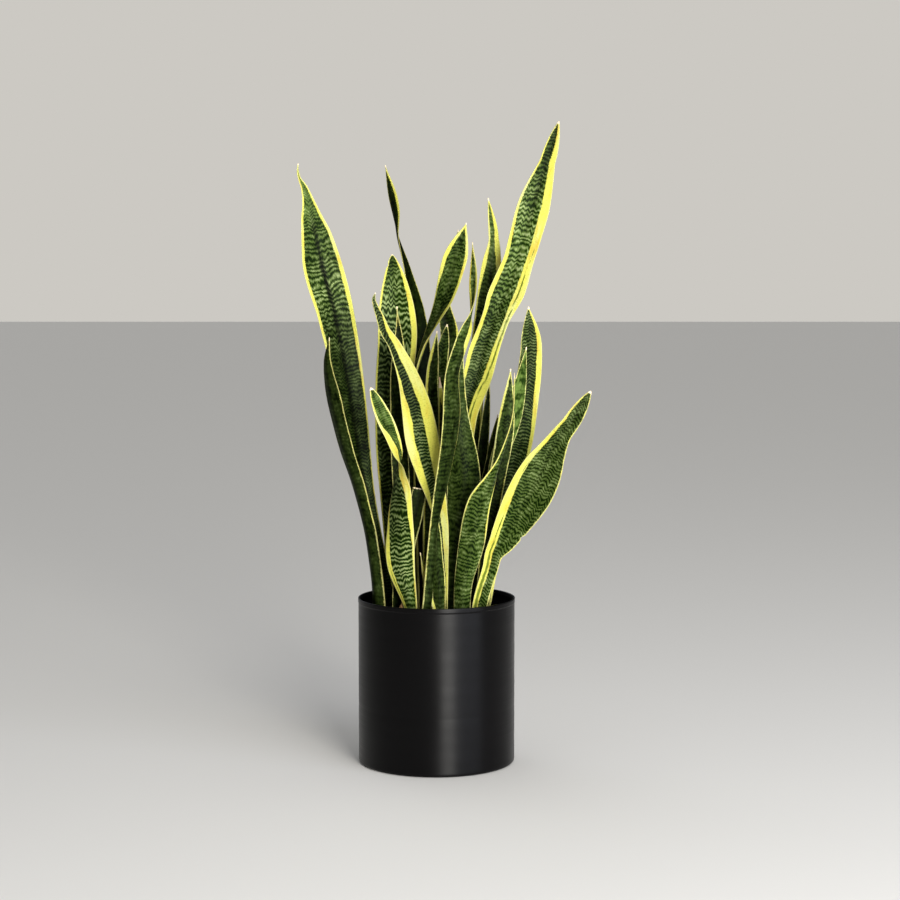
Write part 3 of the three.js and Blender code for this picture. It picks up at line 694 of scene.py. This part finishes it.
def blade_sections(leaf, s):
    """What each cross-section at a share s of the length needs.

    The middle, the turn and the width are curves through the rows. Past the last stated width, the width
    is that width times cos(pi / 2 f) ** tip, where f runs from 0 to 1 at the point, and never under the
    awl. The side direction starts out along +X, square to the leaf's own direction, and is turned by the
    turn. A hook moves the middle to the right by hook times the square of the way through the curl."""
    rows = np.array(leaf["shape"], float)
    middle = rows[:, :3]
    knots = np.concatenate([[0], np.cumsum(np.linalg.norm(np.diff(middle, axis=0), axis=1))])
    length = knots[-1]
    place = s * length

    def point(at):
        on_curve = np.stack([through(knots, middle[:, c], at) for c in range(3)], axis=-1)
        on_curve[:, 0] += leaf["hook"] * np.clip(1 - (length - at) / HOOKED, 0, None) ** 2
        return on_curve

    stated = int(np.sum(~np.isnan(rows[:, 3])))
    shoulder = knots[stated - 1]
    width = through(knots[:stated], rows[:stated, 3], np.minimum(place, shoulder))
    if "tip" in leaf:
        f = np.clip((place - shoulder) / (length - shoulder), 0, 1)
        width = np.maximum(width * np.cos(np.pi / 2 * f) ** leaf["tip"], AWL)
    upward = unit(point(place + 0.5) - point(place - 0.5))
    sideways = unit(np.array([1.0, 0, 0]) - upward[:, :1] * upward)
    front = np.cross(sideways, upward)
    turn = np.radians(through(knots, rows[:, 4], place))[:, None]
    side = sideways * np.cos(turn) + front * np.sin(turn)
    inward = front * np.cos(turn) - sideways * np.sin(turn)
    evenly = np.linspace(0, 1, len(FOLD))
    thickness = np.minimum(np.interp(s, evenly, THICK), PLUMPEST * width)
    depth = np.interp(s, evenly, FOLD) * width
    return point(place), side, inward, width, thickness, depth, place


# %% [markdown]
# The finish needs numbers that only the blade knows, so each point of the blade carries them. Lengths are
# in millimetres: how deep the point lies in the yellow edge, how far it is from the nearest edge, and how
# far it is into the withered tip. How far it is from the green line is a multiple of that line's half
# width. How many bands lie between the foot and the point is the sum of each step's length over the
# spacing there.

# %% Blades
RING_STEP = 2.6  # between cross-sections
STRIPS = 18  # across one face
RIPPLE = 0.45  # of the edges
NICK_WIDE = 4  # half the length of a nick along the edge
TIP_CROWDING = 1.25  # 1 spaces the rings evenly
LAST_RING = 0.4  # from the point itself
ATLAS_STEP = 2000.0  # sets the leaves' patterns apart, so no two leaves share one
FAR = 99.0  # stands for a point that no green line comes near


def ripple(place, length, rng):
    """Two slow sines along an edge, 60 to 160 mm long, that fade out at both ends."""
    waves = sum(np.sin(2 * np.pi * (place / rng.uniform(60, 160) + rng.uniform())) for _ in range(2))
    return RIPPLE * waves * np.sin(np.pi * place / length) ** 0.5


def blade_numbers(leaf, z, place, v, width):
    """The numbers that the finish reads, for each ring and each place across, by name."""
    heights, first_band, second_band, light = np.array(leaf["look"], float).T
    from_first, from_second = (1 + v) * width / 2, (1 - v) * width / 2
    into_edge = np.maximum(
        np.interp(z, heights, first_band) - from_first, np.interp(z, heights, second_band) - from_second
    )
    line = np.full(from_first.shape, FAR)
    if "line" in leaf:
        side, stations = leaf["line"]
        line_z, away, half_width = np.array(stations, float).T
        distance = from_first if side == FIRST else from_second
        near = np.abs(distance - np.interp(z, line_z, away)) / np.interp(z, line_z, half_width)
        line = np.where((z > line_z[0]) & (z < line_z[-1]), near, FAR)
    band_z, spacing, contrast = np.array(leaf["bands"], float).T
    spacing = np.interp(z, band_z, spacing)
    keel_z, keel = np.array(leaf["keel"], float).T
    turns = np.cumsum(np.diff(place, axis=0, prepend=0.0) / spacing, axis=0)
    return {
        "into_edge": into_edge,
        "from_edge": np.minimum(from_first, from_second),
        "from_line": line,
        "into_dry": leaf["dry"] - (place[-1] - place),
        # painted light and shade, with a painted sheen where it is highest, and partly the leaf's own
        # paleness
        "light": np.interp(z, heights, light),
        "turns": turns - leaf["arch"] / spacing * (1 - np.abs(v)),
        "tooth": leaf["tooth"] / spacing,
        "contrast": np.interp(z, band_z, contrast),
        # painted shade in the channel's hollow, and partly its thicker flesh
        "keel": np.interp(z, keel_z, keel),
    }


def make_blade(name, leaf, number, finish):
    """One leaf. A point is middle + side v w / 2 + inward (depth rise(v) + face half(v)).

    v runs from -1 to 1. rise(v) is (hypot(v, keel) - keel) / (hypot(1, keel) - keel), a rounded V, and
    half(v) is half the thickness times the root of 1 - v squared. v is spaced as minus a cosine, so that
    points crowd where the edges curve. Rings crowd towards the tip, which has the tightest curve. The
    ripple is strongest at the edges themselves, and weaker where the blade is narrow."""
    rng = np.random.default_rng(number)
    rows = np.array(leaf["shape"], float)
    span = np.linalg.norm(np.diff(rows[:, :3], axis=0), axis=1).sum()
    s = 1 - (1 - np.linspace(0, 1, int(span / RING_STEP))) ** TIP_CROWDING
    s[-1] = 1 - LAST_RING / span if "tip" in leaf else 1
    middle, side, inward, width, thickness, depth, place = blade_sections(leaf, s)
    width, thickness, depth, place, z = (a[:, None] for a in (width, thickness, depth, place, middle[:, 2]))

    angle = np.pi * np.arange(2 * STRIPS)[None] / STRIPS
    v = -np.cos(angle)
    face = np.where(angle < np.pi, 1, -1)
    rise = (np.hypot(v, KEEL) - KEEL) / (np.hypot(1, KEEL) - KEEL)
    half_width = width / 2 + 0 * v
    if "nick" in leaf:
        nick_side, height, bite = leaf["nick"]
        reach = np.maximum(0, 1 - np.abs(z - height) / NICK_WIDE)
        half_width -= bite * reach * np.clip(nick_side * v, 0, 1) ** 6
    first, second = (ripple(place, span, rng) for _ in (FIRST, SECOND))
    wave = np.where(v < 0, first, second) * np.abs(v) ** 3 * np.minimum(1, width / 20)
    up = rise * depth + face * np.abs(np.sin(angle)) * thickness / 2 + wave
    rings = middle[:, None] + side[:, None] * (v * half_width)[..., None] + inward[:, None] * up[..., None]
    plane = np.stack([v * half_width, place + ATLAS_STEP * number + 0 * v], axis=-1)
    tip = blade_sections(leaf, np.ones(1))[0][0] if "tip" in leaf else rings[-1].mean(axis=0)
    numbers = blade_numbers(leaf, z, place, v, width)
    return closed_skin(name + "_blade", rings, rings[0].mean(axis=0), tip, finish, numbers, plane)


# %% [markdown]
# ## The finish of a living leaf
# A snake plant's leaf has a smooth, waxy skin over thick flesh. What the eye sees is: dark green with
# paler bands that cross the blade about every centimetre; the bands zigzag, because each strip of cells
# along the leaf carries them a little higher or lower than the next; fine streaks along the leaf feather
# every border; a clean yellow edge with a thin cream line outermost; and a broad soft shine.
#
# The bands could be painted on, but here they are a wave along the leaf. The wave starts from the number
# of bands below a point. A folded line across the blade gives the zigzag its teeth, and its place drifts
# so slowly along the leaf that neighbouring bands share the same zigzag, as they do on the plant. Noise
# then roughens it. Sizes in the noise are millimetres on the blade, which the piece's own UV map holds.

# %% Leaf finish, the bands
TOOTH_WIDE = 6.5  # half the width of one zigzag, in millimetres
leaf_finish, leaf_tree, leaf_shader = new_finish("waxy_banded_leaf")
blade = add(leaf_tree, "Attribute", attribute_name="blade", output="Vector")
across = add(leaf_tree, "SeparateXYZ", [blade], output="X")
light, turns, tooth, contrast, keel, into_edge, from_edge, from_line, into_dry = (
    add(leaf_tree, "Attribute", attribute_name=name, output="Fac")
    for name in "light turns tooth contrast keel into_edge from_edge from_line into_dry".split()
)


def grain(wide, long, layer, detail=1.0, tree=leaf_tree, plane=blade):
    """Noise on a blade with spots of wide by long millimetres. Each layer is a pattern of its own."""
    stretch = {"Vector": plane, "Location": (0, 0, layer), "Scale": (1 / wide, 1 / long, 1)}
    place = add(tree, "Mapping", stretch)
    return add(tree, "TexNoise", {"Vector": place, "Scale": 1.0, "Detail": detail})


def roughened(value, *noises):
    """The value plus each noise times its strength."""
    for noise, strength in noises:
        value = add(leaf_tree, "Math", [noise, strength, value], operation="MULTIPLY_ADD")
    return value


drifting = roughened(across, (grain(40, 150, 1.3, 0.0), 40))
folded = add(leaf_tree, "Math", [drifting, TOOTH_WIDE], operation="PINGPONG")
vary = add(leaf_tree, "MapRange", [grain(16, 60, 2.3, 0.0), 0.3, 0.7, 0, 1.5 / TOOTH_WIDE])
teeth = add(leaf_tree, "Math", [folded, vary], operation="MULTIPLY")
phase = roughened(
    add(leaf_tree, "Math", [teeth, tooth, turns], operation="MULTIPLY_ADD"),
    (grain(2.2, 30, 3.3, 2.0), 0.9),  # feathered borders
    (grain(30, 22, 4.3), 2.2),  # uneven spacing
)
phase = add(leaf_tree, "Math", [phase, 2 * np.pi], operation="MULTIPLY")
wave = add(leaf_tree, "Math", [phase], operation="SINE")
wave = add(leaf_tree, "Math", [wave, contrast], operation="MULTIPLY")
UNEVEN = [
    (grain(8, 14, 5.3, 2.0), 3.0),  # some bands swell, some merge
    (grain(1.0, 12, 6.3), 1.2),  # streaks
    (grain(40, 70, 7.3), 1.4),  # patches
]
band = roughened(wave, *UNEVEN)
MIDDLE = sum(strength for _, strength in UNEVEN) / 2
print("bands swing round", MIDDLE)

# %% [markdown]
# The greens come next. A band runs from dark green through a middle green to a pale one. Each tone has a
# shaded and a lit copy, mixed by the piece's own "light" number: painted light and shade on the blade, with
# a painted sheen where it is highest, and partly the leaf's own paleness. A fine streaking along the leaf
# multiplies them, and so does a darker line down the middle of the channel, which is painted shade in the
# channel's hollow and partly its thicker flesh.

# %% Leaf finish, the greens
SMOOTH = {"interpolation_type": "SMOOTHSTEP"}  # a MapRange that eases in and out
COLOURS = {"data_type": "RGBA"}  # a Mix of colours, not of numbers
TONES = [("#030601", "#172A05"), ("#101904", "#576D30"), ("#303F18", "#9EAD73")]  # each shaded, then lit
# painted light and shade: each tone mixes its shaded and its lit copy by the light number
dark, medium, pale = (add(leaf_tree, "Mix", [light, *tone], **COLOURS) for tone in TONES)
to_medium, to_pale = (
    add(leaf_tree, "MapRange", [band, MIDDLE + low, MIDDLE + high], **SMOOTH)
    for low, high in ((-0.75, 0.25), (0.3, 1.5))
)
green = add(leaf_tree, "Mix", [to_medium, dark, medium], **COLOURS)
green = add(leaf_tree, "Mix", [to_pale, green, pale], **COLOURS)
streak = add(leaf_tree, "MapRange", [grain(0.6, 22, 8.3, 2.0), 0.3, 0.7, 0.78, 1.22])
# painted shade in the channel's hollow, partly its thicker flesh: the keel number darkens the middle
from_middle = add(leaf_tree, "Math", [across], operation="ABSOLUTE")
from_middle = roughened(from_middle, (grain(5, 16, 16.3, 2.0), 8))
beside_keel = add(leaf_tree, "MapRange", [from_middle, 4, 11], **SMOOTH)
open_side = add(leaf_tree, "Math", [1.0, keel], operation="SUBTRACT")
channel = add(leaf_tree, "Mix", [beside_keel, open_side, 1.0], data_type="FLOAT")
for shade in (streak, channel):
    green = add(leaf_tree, "Mix", [1.0, green, shade], blend_type="MULTIPLY", **COLOURS)
print("bands and greens:", len(leaf_tree.nodes), "nodes")

# %% [markdown]
# The yellow edge is living tissue without chlorophyll. Its inner border follows the strips of cells, so
# it wanders by half a millimetre, and the ends of the bands give it a fine hatch. It is lemon, turns to
# cream or to gold in patches, and has faint green ticks across it. Where the piece's "light" number is
# low the yellow is darkened, which is painted shade. The outermost millimetre is pale and a little horny,
# and the rim itself is a thin brown line. Some broad edges carry a dark green line, which breaks up where
# it is thin.

# %% Leaf finish, the edges
STRAIGHT = {"interpolation_type": "LINEAR"}
border = roughened(
    into_edge,
    (grain(1.6, 12, 9.3, 2.0), 2.4),  # follows the strips of cells
    (grain(8, 1.5, 17.3), 2.2),  # a fine hatch
)
broken = roughened(from_line, (grain(3, 7, 12.3, 2.0), 1.2))
yellow = "#C9C656"
OVER_YELLOW = [
    # what it follows, where it starts, where it is full, how much then, how it gets there, colour
    (grain(14, 90, 18.3), 0.45, 0.75, 0.8, SMOOTH, "#C6C984"),  # cream patches
    (grain(10, 45, 10.3, 2.0), 0.48, 0.75, 0.8, SMOOTH, "#BDA23A"),  # gold patches
    (grain(3, 1.6, 11.3, 2.0), 0.5, 0.75, 0.55, SMOOTH, "#848E34"),  # green ticks
    (from_edge, 1.5, 0.6, 0.7, SMOOTH, "#C9CA92"),  # pale and horny
    (from_edge, 0.7, 0.2, 0.65, STRAIGHT, "#9C8E40"),  # brown rim
    (broken, 2.0, 1.1, 0.92, SMOOTH, "#4A5A1A"),  # dark green line
]
for where, start, full, most, way, colour in OVER_YELLOW:
    share = add(leaf_tree, "MapRange", [where, start, full, 0, most], **way)
    yellow = add(leaf_tree, "Mix", [share, yellow, colour], **COLOURS)
# painted shade: the yellow edge is darkened down to 0.78 where the light number is low
painted_edge_shade = add(leaf_tree, "MapRange", [light, 0, 0.6, 0.78])
yellow = add(leaf_tree, "Mix", [1.0, yellow, painted_edge_shade], blend_type="MULTIPLY", **COLOURS)
yellow_share = add(leaf_tree, "MapRange", [border, 1.5, 3.0], **SMOOTH)
skin = add(leaf_tree, "Mix", [yellow_share, green, yellow], **COLOURS)
print("with the edges:", len(leaf_tree.nodes), "nodes")

# %% [markdown]
# The tips of old leaves wither: the flesh dries out, rolls up into a hard point and turns from cream to
# brown. Dry tissue has lost its wax, so it is rougher than the living skin. Relief comes from fine ridges
# along the leaf.

# %% Leaf finish, the dry tip and the gloss
ragged = roughened(into_dry, (grain(2, 9, 13.3, 2.0), 5))
dryness = add(leaf_tree, "MapRange", [ragged, 1.8, 3.4], **SMOOTH)
age = add(leaf_tree, "MapRange", [into_dry, 0, 22])
dry_colour = add(leaf_tree, "Mix", [age, "#EAD9B4", "#C39468"], **COLOURS)
gloss = add(leaf_tree, "MapRange", [grain(7, 30, 14.3, 3.0), 0.3, 0.7, 0.30, 0.44])
ridges = grain(0.8, 60, 15.3, 2.0)
leaf_looks = {
    "Base Color": add(leaf_tree, "Mix", [dryness, skin, dry_colour], **COLOURS),
    "Roughness": add(leaf_tree, "Mix", [dryness, gloss, 0.75], data_type="FLOAT"),
    "Normal": add(leaf_tree, "Bump", {"Strength": 0.5, "Distance": 0.12 * MM, "Height": ridges}),
    "Specular IOR Level": 0.015,
}
fill(leaf_tree, leaf_shader, leaf_looks)
print("leaf finish:", len(leaf_tree.nodes), "nodes")

# %% [markdown]
# ## The withered sheath
# At the foot of the clump sits the papery remains of a small old leaf. It is a piece of its own, made
# with the same surface, but its finish is dry fibre: light brown, streaked along its length, and not
# shiny at all.

# %% Sheath finish
sheath_finish, sheath_tree, sheath_shader = new_finish("dry_papery_sheath")
sheath_plane = add(sheath_tree, "Attribute", attribute_name="blade", output="Vector")
fibres = grain(0.7, 25, 1.7, 3.0, sheath_tree, sheath_plane)
fibre_share = add(sheath_tree, "MapRange", [fibres, 0.35, 0.65])
sheath_looks = {
    "Base Color": add(sheath_tree, "Mix", [fibre_share, "#553A20", "#A67E50"], **COLOURS),
    "Normal": add(sheath_tree, "Bump", {"Strength": 0.8, "Distance": 0.3 * MM, "Height": fibres}),
    "Roughness": 0.82,
}
fill(sheath_tree, sheath_shader, sheath_looks)
print("sheath finish:", len(sheath_tree.nodes), "nodes")

# %% [markdown]
# ## Growing the leaves
# Every blade is made by the same function from its own rows. It stands for the construction's solid of
# the same name, which is hidden, rides with the frame's first body, and takes the waxy leaf finish, or
# the dry sheath finish for the sheath.

# %% Leaves in place
BODY = next(iter(frame["bodies"]))
SHEATH = "basal_sheath"
blade_faces = 0
for number, (name, leaf) in enumerate(LEAVES.items()):
    piece = make_blade(name, COMMON | leaf, number, sheath_finish if name == SHEATH else leaf_finish)
    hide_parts(name)
    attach(piece, BODY)
    blade_faces += len(piece.data.polygons)
print(len(LEAVES), "blades with", blade_faces, "faces")

# %% [markdown]
# ## The planter
# The pot is spun: a flat disc of sheet steel is pressed over a turning form until it is a cylinder. Its
# edge is then folded over, which leaves a band a few millimetres high that stands a little proud of the
# wall on both sides. So the pot is a profile turned round the axis. The profile goes out along the
# underside, round the corner, up the wall, over the folded rim, down the inside and back to the middle of
# the floor. Spinning never leaves a perfectly true wall, so the radius swings by a few hundredths of a
# millimetre with height, and there is one shallow groove where the tool paused.

# %% Planter surface
POT_RADIUS, POT_HEIGHT, POT_WALL = 125, 265, 2
POT_CORNER = 5
HEM_HEIGHT, HEM_PROUD, HEM_ROUND = 7, 0.5, 1.1
GROOVE_HEIGHT, GROOVE_DEPTH, GROOVE_WIDE = 92, 0.12, 1.6
AROUND = 224


def arc(centre, radius, start, end, steps=7):
    """Points centre + radius (cos a, sin a), for a from start to end in degrees."""
    a = np.radians(np.linspace(start, end, steps))
    return np.stack([centre[0] + radius * np.cos(a), centre[1] + radius * np.sin(a)], axis=-1)


def straight(start, end, step):
    """Points evenly from start to end, about step apart, without the two ends."""
    count = max(2, round(np.hypot(end[0] - start[0], end[1] - start[1]) / step))
    return np.linspace(start, end, count + 1)[1:-1]


bore = POT_RADIUS - POT_WALL
corner = POT_RADIUS - POT_CORNER
hem_low = POT_HEIGHT - HEM_HEIGHT
hem_top = POT_HEIGHT - HEM_ROUND
hem_out, hem_in = POT_RADIUS + HEM_PROUD, bore - HEM_PROUD
profile = np.concatenate(
    [
        straight((0, 0), (corner, 0), 20),
        arc((corner, POT_CORNER), POT_CORNER, -90, 0),
        straight((POT_RADIUS, POT_CORNER), (POT_RADIUS, hem_low), 2.2),
        arc((POT_RADIUS, hem_low + HEM_PROUD), HEM_PROUD, -90, 0, 5),
        straight((hem_out, hem_low + HEM_PROUD), (hem_out, hem_top), 1.5),
        arc((hem_out - HEM_ROUND, hem_top), HEM_ROUND, 0, 90),
        arc((hem_in + HEM_ROUND, hem_top), HEM_ROUND, 90, 180),
        straight((hem_in, hem_top), (hem_in, hem_low + HEM_PROUD), 1.5),
        arc((bore, hem_low + HEM_PROUD), HEM_PROUD, 180, 270, 5),
        straight((bore, hem_low), (bore, POT_CORNER), 8),
        arc((corner, POT_CORNER), POT_CORNER - POT_WALL, 0, -90),
        straight((corner, POT_WALL), (0, POT_WALL), 20),
    ]
)


def turned(profile, around):
    """Rings of points (r cos a, r sin a, z), with a going once round."""
    a = 2 * np.pi * np.arange(around) / around
    r, z = profile[:, :1], profile[:, 1:]
    return np.stack([r * np.cos(a), r * np.sin(a), z + 0 * a], axis=-1)


pot_r, pot_z = profile.T
on_wall = (pot_r > bore + 0.5) & (pot_z > POT_CORNER) & (pot_z < hem_low)
swing = 0.05 * np.sin(pot_z / 9.0) + 0.04 * np.sin(pot_z / 4.1 + 1)
groove = GROOVE_DEPTH * np.exp(-(((pot_z - GROOVE_HEIGHT) / GROOVE_WIDE) ** 2))
fade = np.clip((hem_low - pot_z) / 12, 0, 1) * np.clip((pot_z - POT_CORNER) / 12, 0, 1)
profile[:, 0] += on_wall * fade * (swing - groove)

# %% [markdown]
# Satin black enamel over spun steel is nearly black, with a soft reflection. The tool leaves rings that
# are too fine to see one by one, but together they smear every reflection upwards and downwards, across
# the rings. That is anisotropy: the shader's highlight is stretched along the axis, and a light then
# shows as a tall upright streak. The rings themselves are drawn a little coarser than they are, at about
# half a millimetre, to show at all.

# %% Planter finish
enamel, enamel_tree, enamel_shader = new_finish("black_satin_enamel_on_spun_steel")
place = add(enamel_tree, "TexCoord", output="Object")
rings_place = add(enamel_tree, "Mapping", {"Vector": place, "Scale": (6, 6, 1 / (0.5 * MM))})
spun_rings = add(enamel_tree, "TexNoise", {"Vector": rings_place, "Scale": 1.0, "Detail": 3.0})
cloud_place = add(enamel_tree, "Mapping", {"Vector": place, "Scale": (14, 14, 7)})
clouds = add(enamel_tree, "TexNoise", {"Vector": cloud_place, "Scale": 1.0, "Detail": 4.0})
rubbed = add(enamel_tree, "MapRange", [spun_rings, 0.3, 0.7, 0.31, 0.41])
hazy = add(enamel_tree, "MapRange", [clouds, 0.35, 0.7, -0.03, 0.06])
enamel_looks = {
    "Base Color": add(enamel_tree, "Mix", [clouds, "#020202", "#060506"], **COLOURS),
    "Roughness": add(enamel_tree, "Math", [rubbed, hazy], operation="ADD"),
    "Normal": add(enamel_tree, "Bump", {"Strength": 0.35, "Distance": 0.03 * MM, "Height": spun_rings}),
    "Tangent": add(enamel_tree, "Tangent", direction_type="RADIAL", axis="Z"),
    "Anisotropic": 0.75,
    "Anisotropic Rotation": 0.25,
    "Specular IOR Level": 0.13,
}
fill(enamel_tree, enamel_shader, enamel_looks)

planter = closed_skin("planter_spun", turned(profile, AROUND), (0, 0, 0), (0, 0, POT_WALL), enamel)
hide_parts("planter")
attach(planter, BODY)
print("planter:", len(planter.data.polygons), "faces")

# %% [markdown]
# ## The soil
# Potting mix is a crumbly bed of peat and bark fibres, damp and nearly black, with a few coarse pieces on
# top. The bed is one closed surface: its top is lumpy noise on rings, and its sides follow the pot. The
# loose crumbs on top are one more piece: several hundred small rounded bits, each a stretched and dented
# ball of 48 faces.

# %% Soil bed
SOIL_TOP = 225
SOIL_GAP = 0.4  # between the bed and the pot
SLUMP = 2.5  # how much lower the bed is at the wall
SETTLED = 1.5  # how far the bed's mean height lies below SOIL_TOP


def lumps(x, y, size, seed):
    """Smooth noise from -1 to 1: random heights on a square net, blended with 3t^2 - 2t^3 between knots."""
    net = np.random.default_rng(seed).uniform(-1, 1, (64, 64))
    u, v = x / size + 32, y / size + 32
    i, j = np.floor(u).astype(int), np.floor(v).astype(int)
    s, t = u - i, v - j
    s, t = s * s * (3 - 2 * s), t * t * (3 - 2 * t)
    low = net[i, j] * (1 - s) + net[i + 1, j] * s
    return low * (1 - t) + (net[i, j + 1] * (1 - s) + net[i + 1, j + 1] * s) * t


def soil_height(x, y):
    """Height of the bed's top: three sizes of lumps, and a slight slump towards the wall."""
    rough = 2.0 * lumps(x, y, 21, 5) + 1.3 * lumps(x, y, 8, 6) + 0.6 * lumps(x, y, 4.2, 7)
    return SOIL_TOP - SETTLED + rough - SLUMP * (np.hypot(x, y) / bore) ** 6


soil_radius = bore - SOIL_GAP
soil_floor = POT_WALL + SOIL_GAP
toe, heel = (soil_radius - POT_CORNER, soil_floor), (soil_radius, soil_floor + POT_CORNER)
wall_top = (soil_radius, SOIL_TOP - 8)
soil_side = np.concatenate([straight((0, soil_floor), toe, 30), [toe, heel], straight(heel, wall_top, 40)])
top_radii = np.linspace(soil_radius, 1, 90)
soil_rings = turned(np.concatenate([soil_side, np.stack([top_radii, 0 * top_radii], axis=-1)]), 288)
top = soil_rings[len(soil_side) :]
top[..., 2] = soil_height(top[..., 0], top[..., 1])

soil_finish, soil_tree, soil_shader = new_finish("damp_peat_and_bark")
soil_place = add(soil_tree, "TexCoord", output="Object")
fibre_place = add(soil_tree, "Mapping", {"Vector": soil_place, "Scale": (1 / (3 * MM),) * 3})
coarse = {"Vector": fibre_place, "Scale": 1.0, "Detail": 6.0, "Roughness": 0.7}
crumbly = add(soil_tree, "TexNoise", coarse)
soil_looks = {
    "Base Color": add(soil_tree, "Mix", [crumbly, "#0E0A07", "#46331F"], **COLOURS),
    "Normal": add(soil_tree, "Bump", {"Strength": 1.0, "Distance": 1.2 * MM, "Height": crumbly}),
    "Roughness": 0.9,
    "Specular IOR Level": 0.25,
}
fill(soil_tree, soil_shader, soil_looks)

soil_summit = (0, 0, float(soil_height(0, 0)))
soil = closed_skin("soil_bed", soil_rings, (0, 0, soil_floor), soil_summit, soil_finish)
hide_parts("potting_soil")
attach(soil, BODY)
print("soil:", len(soil.data.polygons), "faces")

# %% [markdown]
# Crumbs lie where no leaf stands. Each gets its own size, stretch and turn from a seeded generator, so
# the bed is the same every time. Most are dark peat, some are brown bark, and a few are white perlite,
# which growers mix in to keep the soil open.

# %% Soil crumbs
CRUMBS = 900
CRUMB_SIZES = (0.9, 1.8)  # half the length, before it is stretched
CHUNKY, CHUNK_SHARE = 2.0, 0.12  # how much bigger the coarse pieces are, and how many there are
CLEAR, EDGE_CLEAR = 5, 3  # from the pot's wall and the leaves' faces, and from the leaves' edges
rng = np.random.default_rng(41)
spread = soil_radius - CLEAR
crumb_x, crumb_y = rng.uniform(-spread, spread, (2, 4 * CRUMBS))
clear = np.hypot(crumb_x, crumb_y) < spread
for leaf in LEAVES.values():
    middle, side, inward, width, _, depth, _ = blade_sections(COMMON | leaf, np.linspace(0, 0.3, 40))
    k = np.argmin(np.abs(middle[:, 2] - SOIL_TOP))
    away = np.stack([crumb_x - middle[k, 0], crumb_y - middle[k, 1]], axis=-1)
    beside = np.abs(away @ side[k, :2]) < width[k] / 2 + EDGE_CLEAR
    before = (away @ inward[k, :2] > -CLEAR) & (away @ inward[k, :2] < depth[k] + CLEAR)
    clear &= ~(beside & before)
crumb_x, crumb_y = crumb_x[clear][:CRUMBS], crumb_y[clear][:CRUMBS]
count = len(crumb_x)

latitudes = np.radians([-54, -18, 18, 54])  # of the rings on a ball
ball = turned(np.stack([np.cos(latitudes), np.sin(latitudes)], axis=-1), 6)
ball_faces = halved(*skin_faces(*ball.shape[:2]))
ball = np.concatenate([ball.reshape(-1, 3), [(0, 0, -1), (0, 0, 1)]])
sizes = rng.uniform(*CRUMB_SIZES, count) * np.where(rng.random(count) < CHUNK_SHARE, CHUNKY, 1.0)
stretch = sizes[:, None] * rng.uniform((0.8, 0.6, 0.4), (1.8, 1.0, 0.7), (count, 3))
dents = rng.uniform(0.82, 1.1, (count, len(ball), 1))
turn = rng.uniform(0, 2 * np.pi, count)[:, None]
x, y, z = (ball * dents * stretch[:, None]).transpose(2, 0, 1)
crumb_points = np.stack(
    [
        x * np.cos(turn) - y * np.sin(turn) + crumb_x[:, None],
        x * np.sin(turn) + y * np.cos(turn) + crumb_y[:, None],
        z + (soil_height(crumb_x, crumb_y) + 0.25 * stretch[:, 2])[:, None],
    ],
    axis=-1,
)
crumb_faces = ball_faces + len(ball) * np.arange(count)[:, None, None]
crumb_mesh = bpy.data.meshes.new("soil_crumbs")
crumb_mesh.from_pydata((crumb_points.reshape(-1, 3) * MM).tolist(), [], crumb_faces.reshape(-1, 3).tolist())
tone = np.repeat(rng.choice([0.0, 0.35, 0.6, 1.0], count, p=[0.5, 0.28, 0.17, 0.05]), len(ball))
crumb_mesh.attributes.new("tone", "FLOAT", "POINT").data.foreach_set("value", tone.astype(np.float32))

crumb_finish, crumb_tree, crumb_shader = new_finish("peat_bark_and_perlite")
tone_value = add(crumb_tree, "Attribute", attribute_name="tone", output="Fac")
bark_share = add(crumb_tree, "MapRange", [tone_value, 0, 0.7])
bark = add(crumb_tree, "Mix", [bark_share, "#1A120C", "#5B4228"], **COLOURS)
white = add(crumb_tree, "MapRange", [tone_value, 0.8, 1])
crumb_place = add(crumb_tree, "TexCoord", output="Object")
pitted = add(crumb_tree, "TexNoise", {"Vector": crumb_place, "Scale": 1 / (1.2 * MM), "Detail": 3.0})
crumb_looks = {
    "Base Color": add(crumb_tree, "Mix", [white, bark, "#BDB6A6"], **COLOURS),
    "Normal": add(crumb_tree, "Bump", {"Strength": 0.8, "Distance": 0.4 * MM, "Height": pitted}),
    "Roughness": 0.88,
}
fill(crumb_tree, crumb_shader, crumb_looks)
crumb_mesh.materials.append(crumb_finish)
crumbs = put("soil_crumbs", crumb_mesh)
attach(crumbs, BODY)
print(count, "crumbs with", len(crumb_mesh.polygons), "faces")
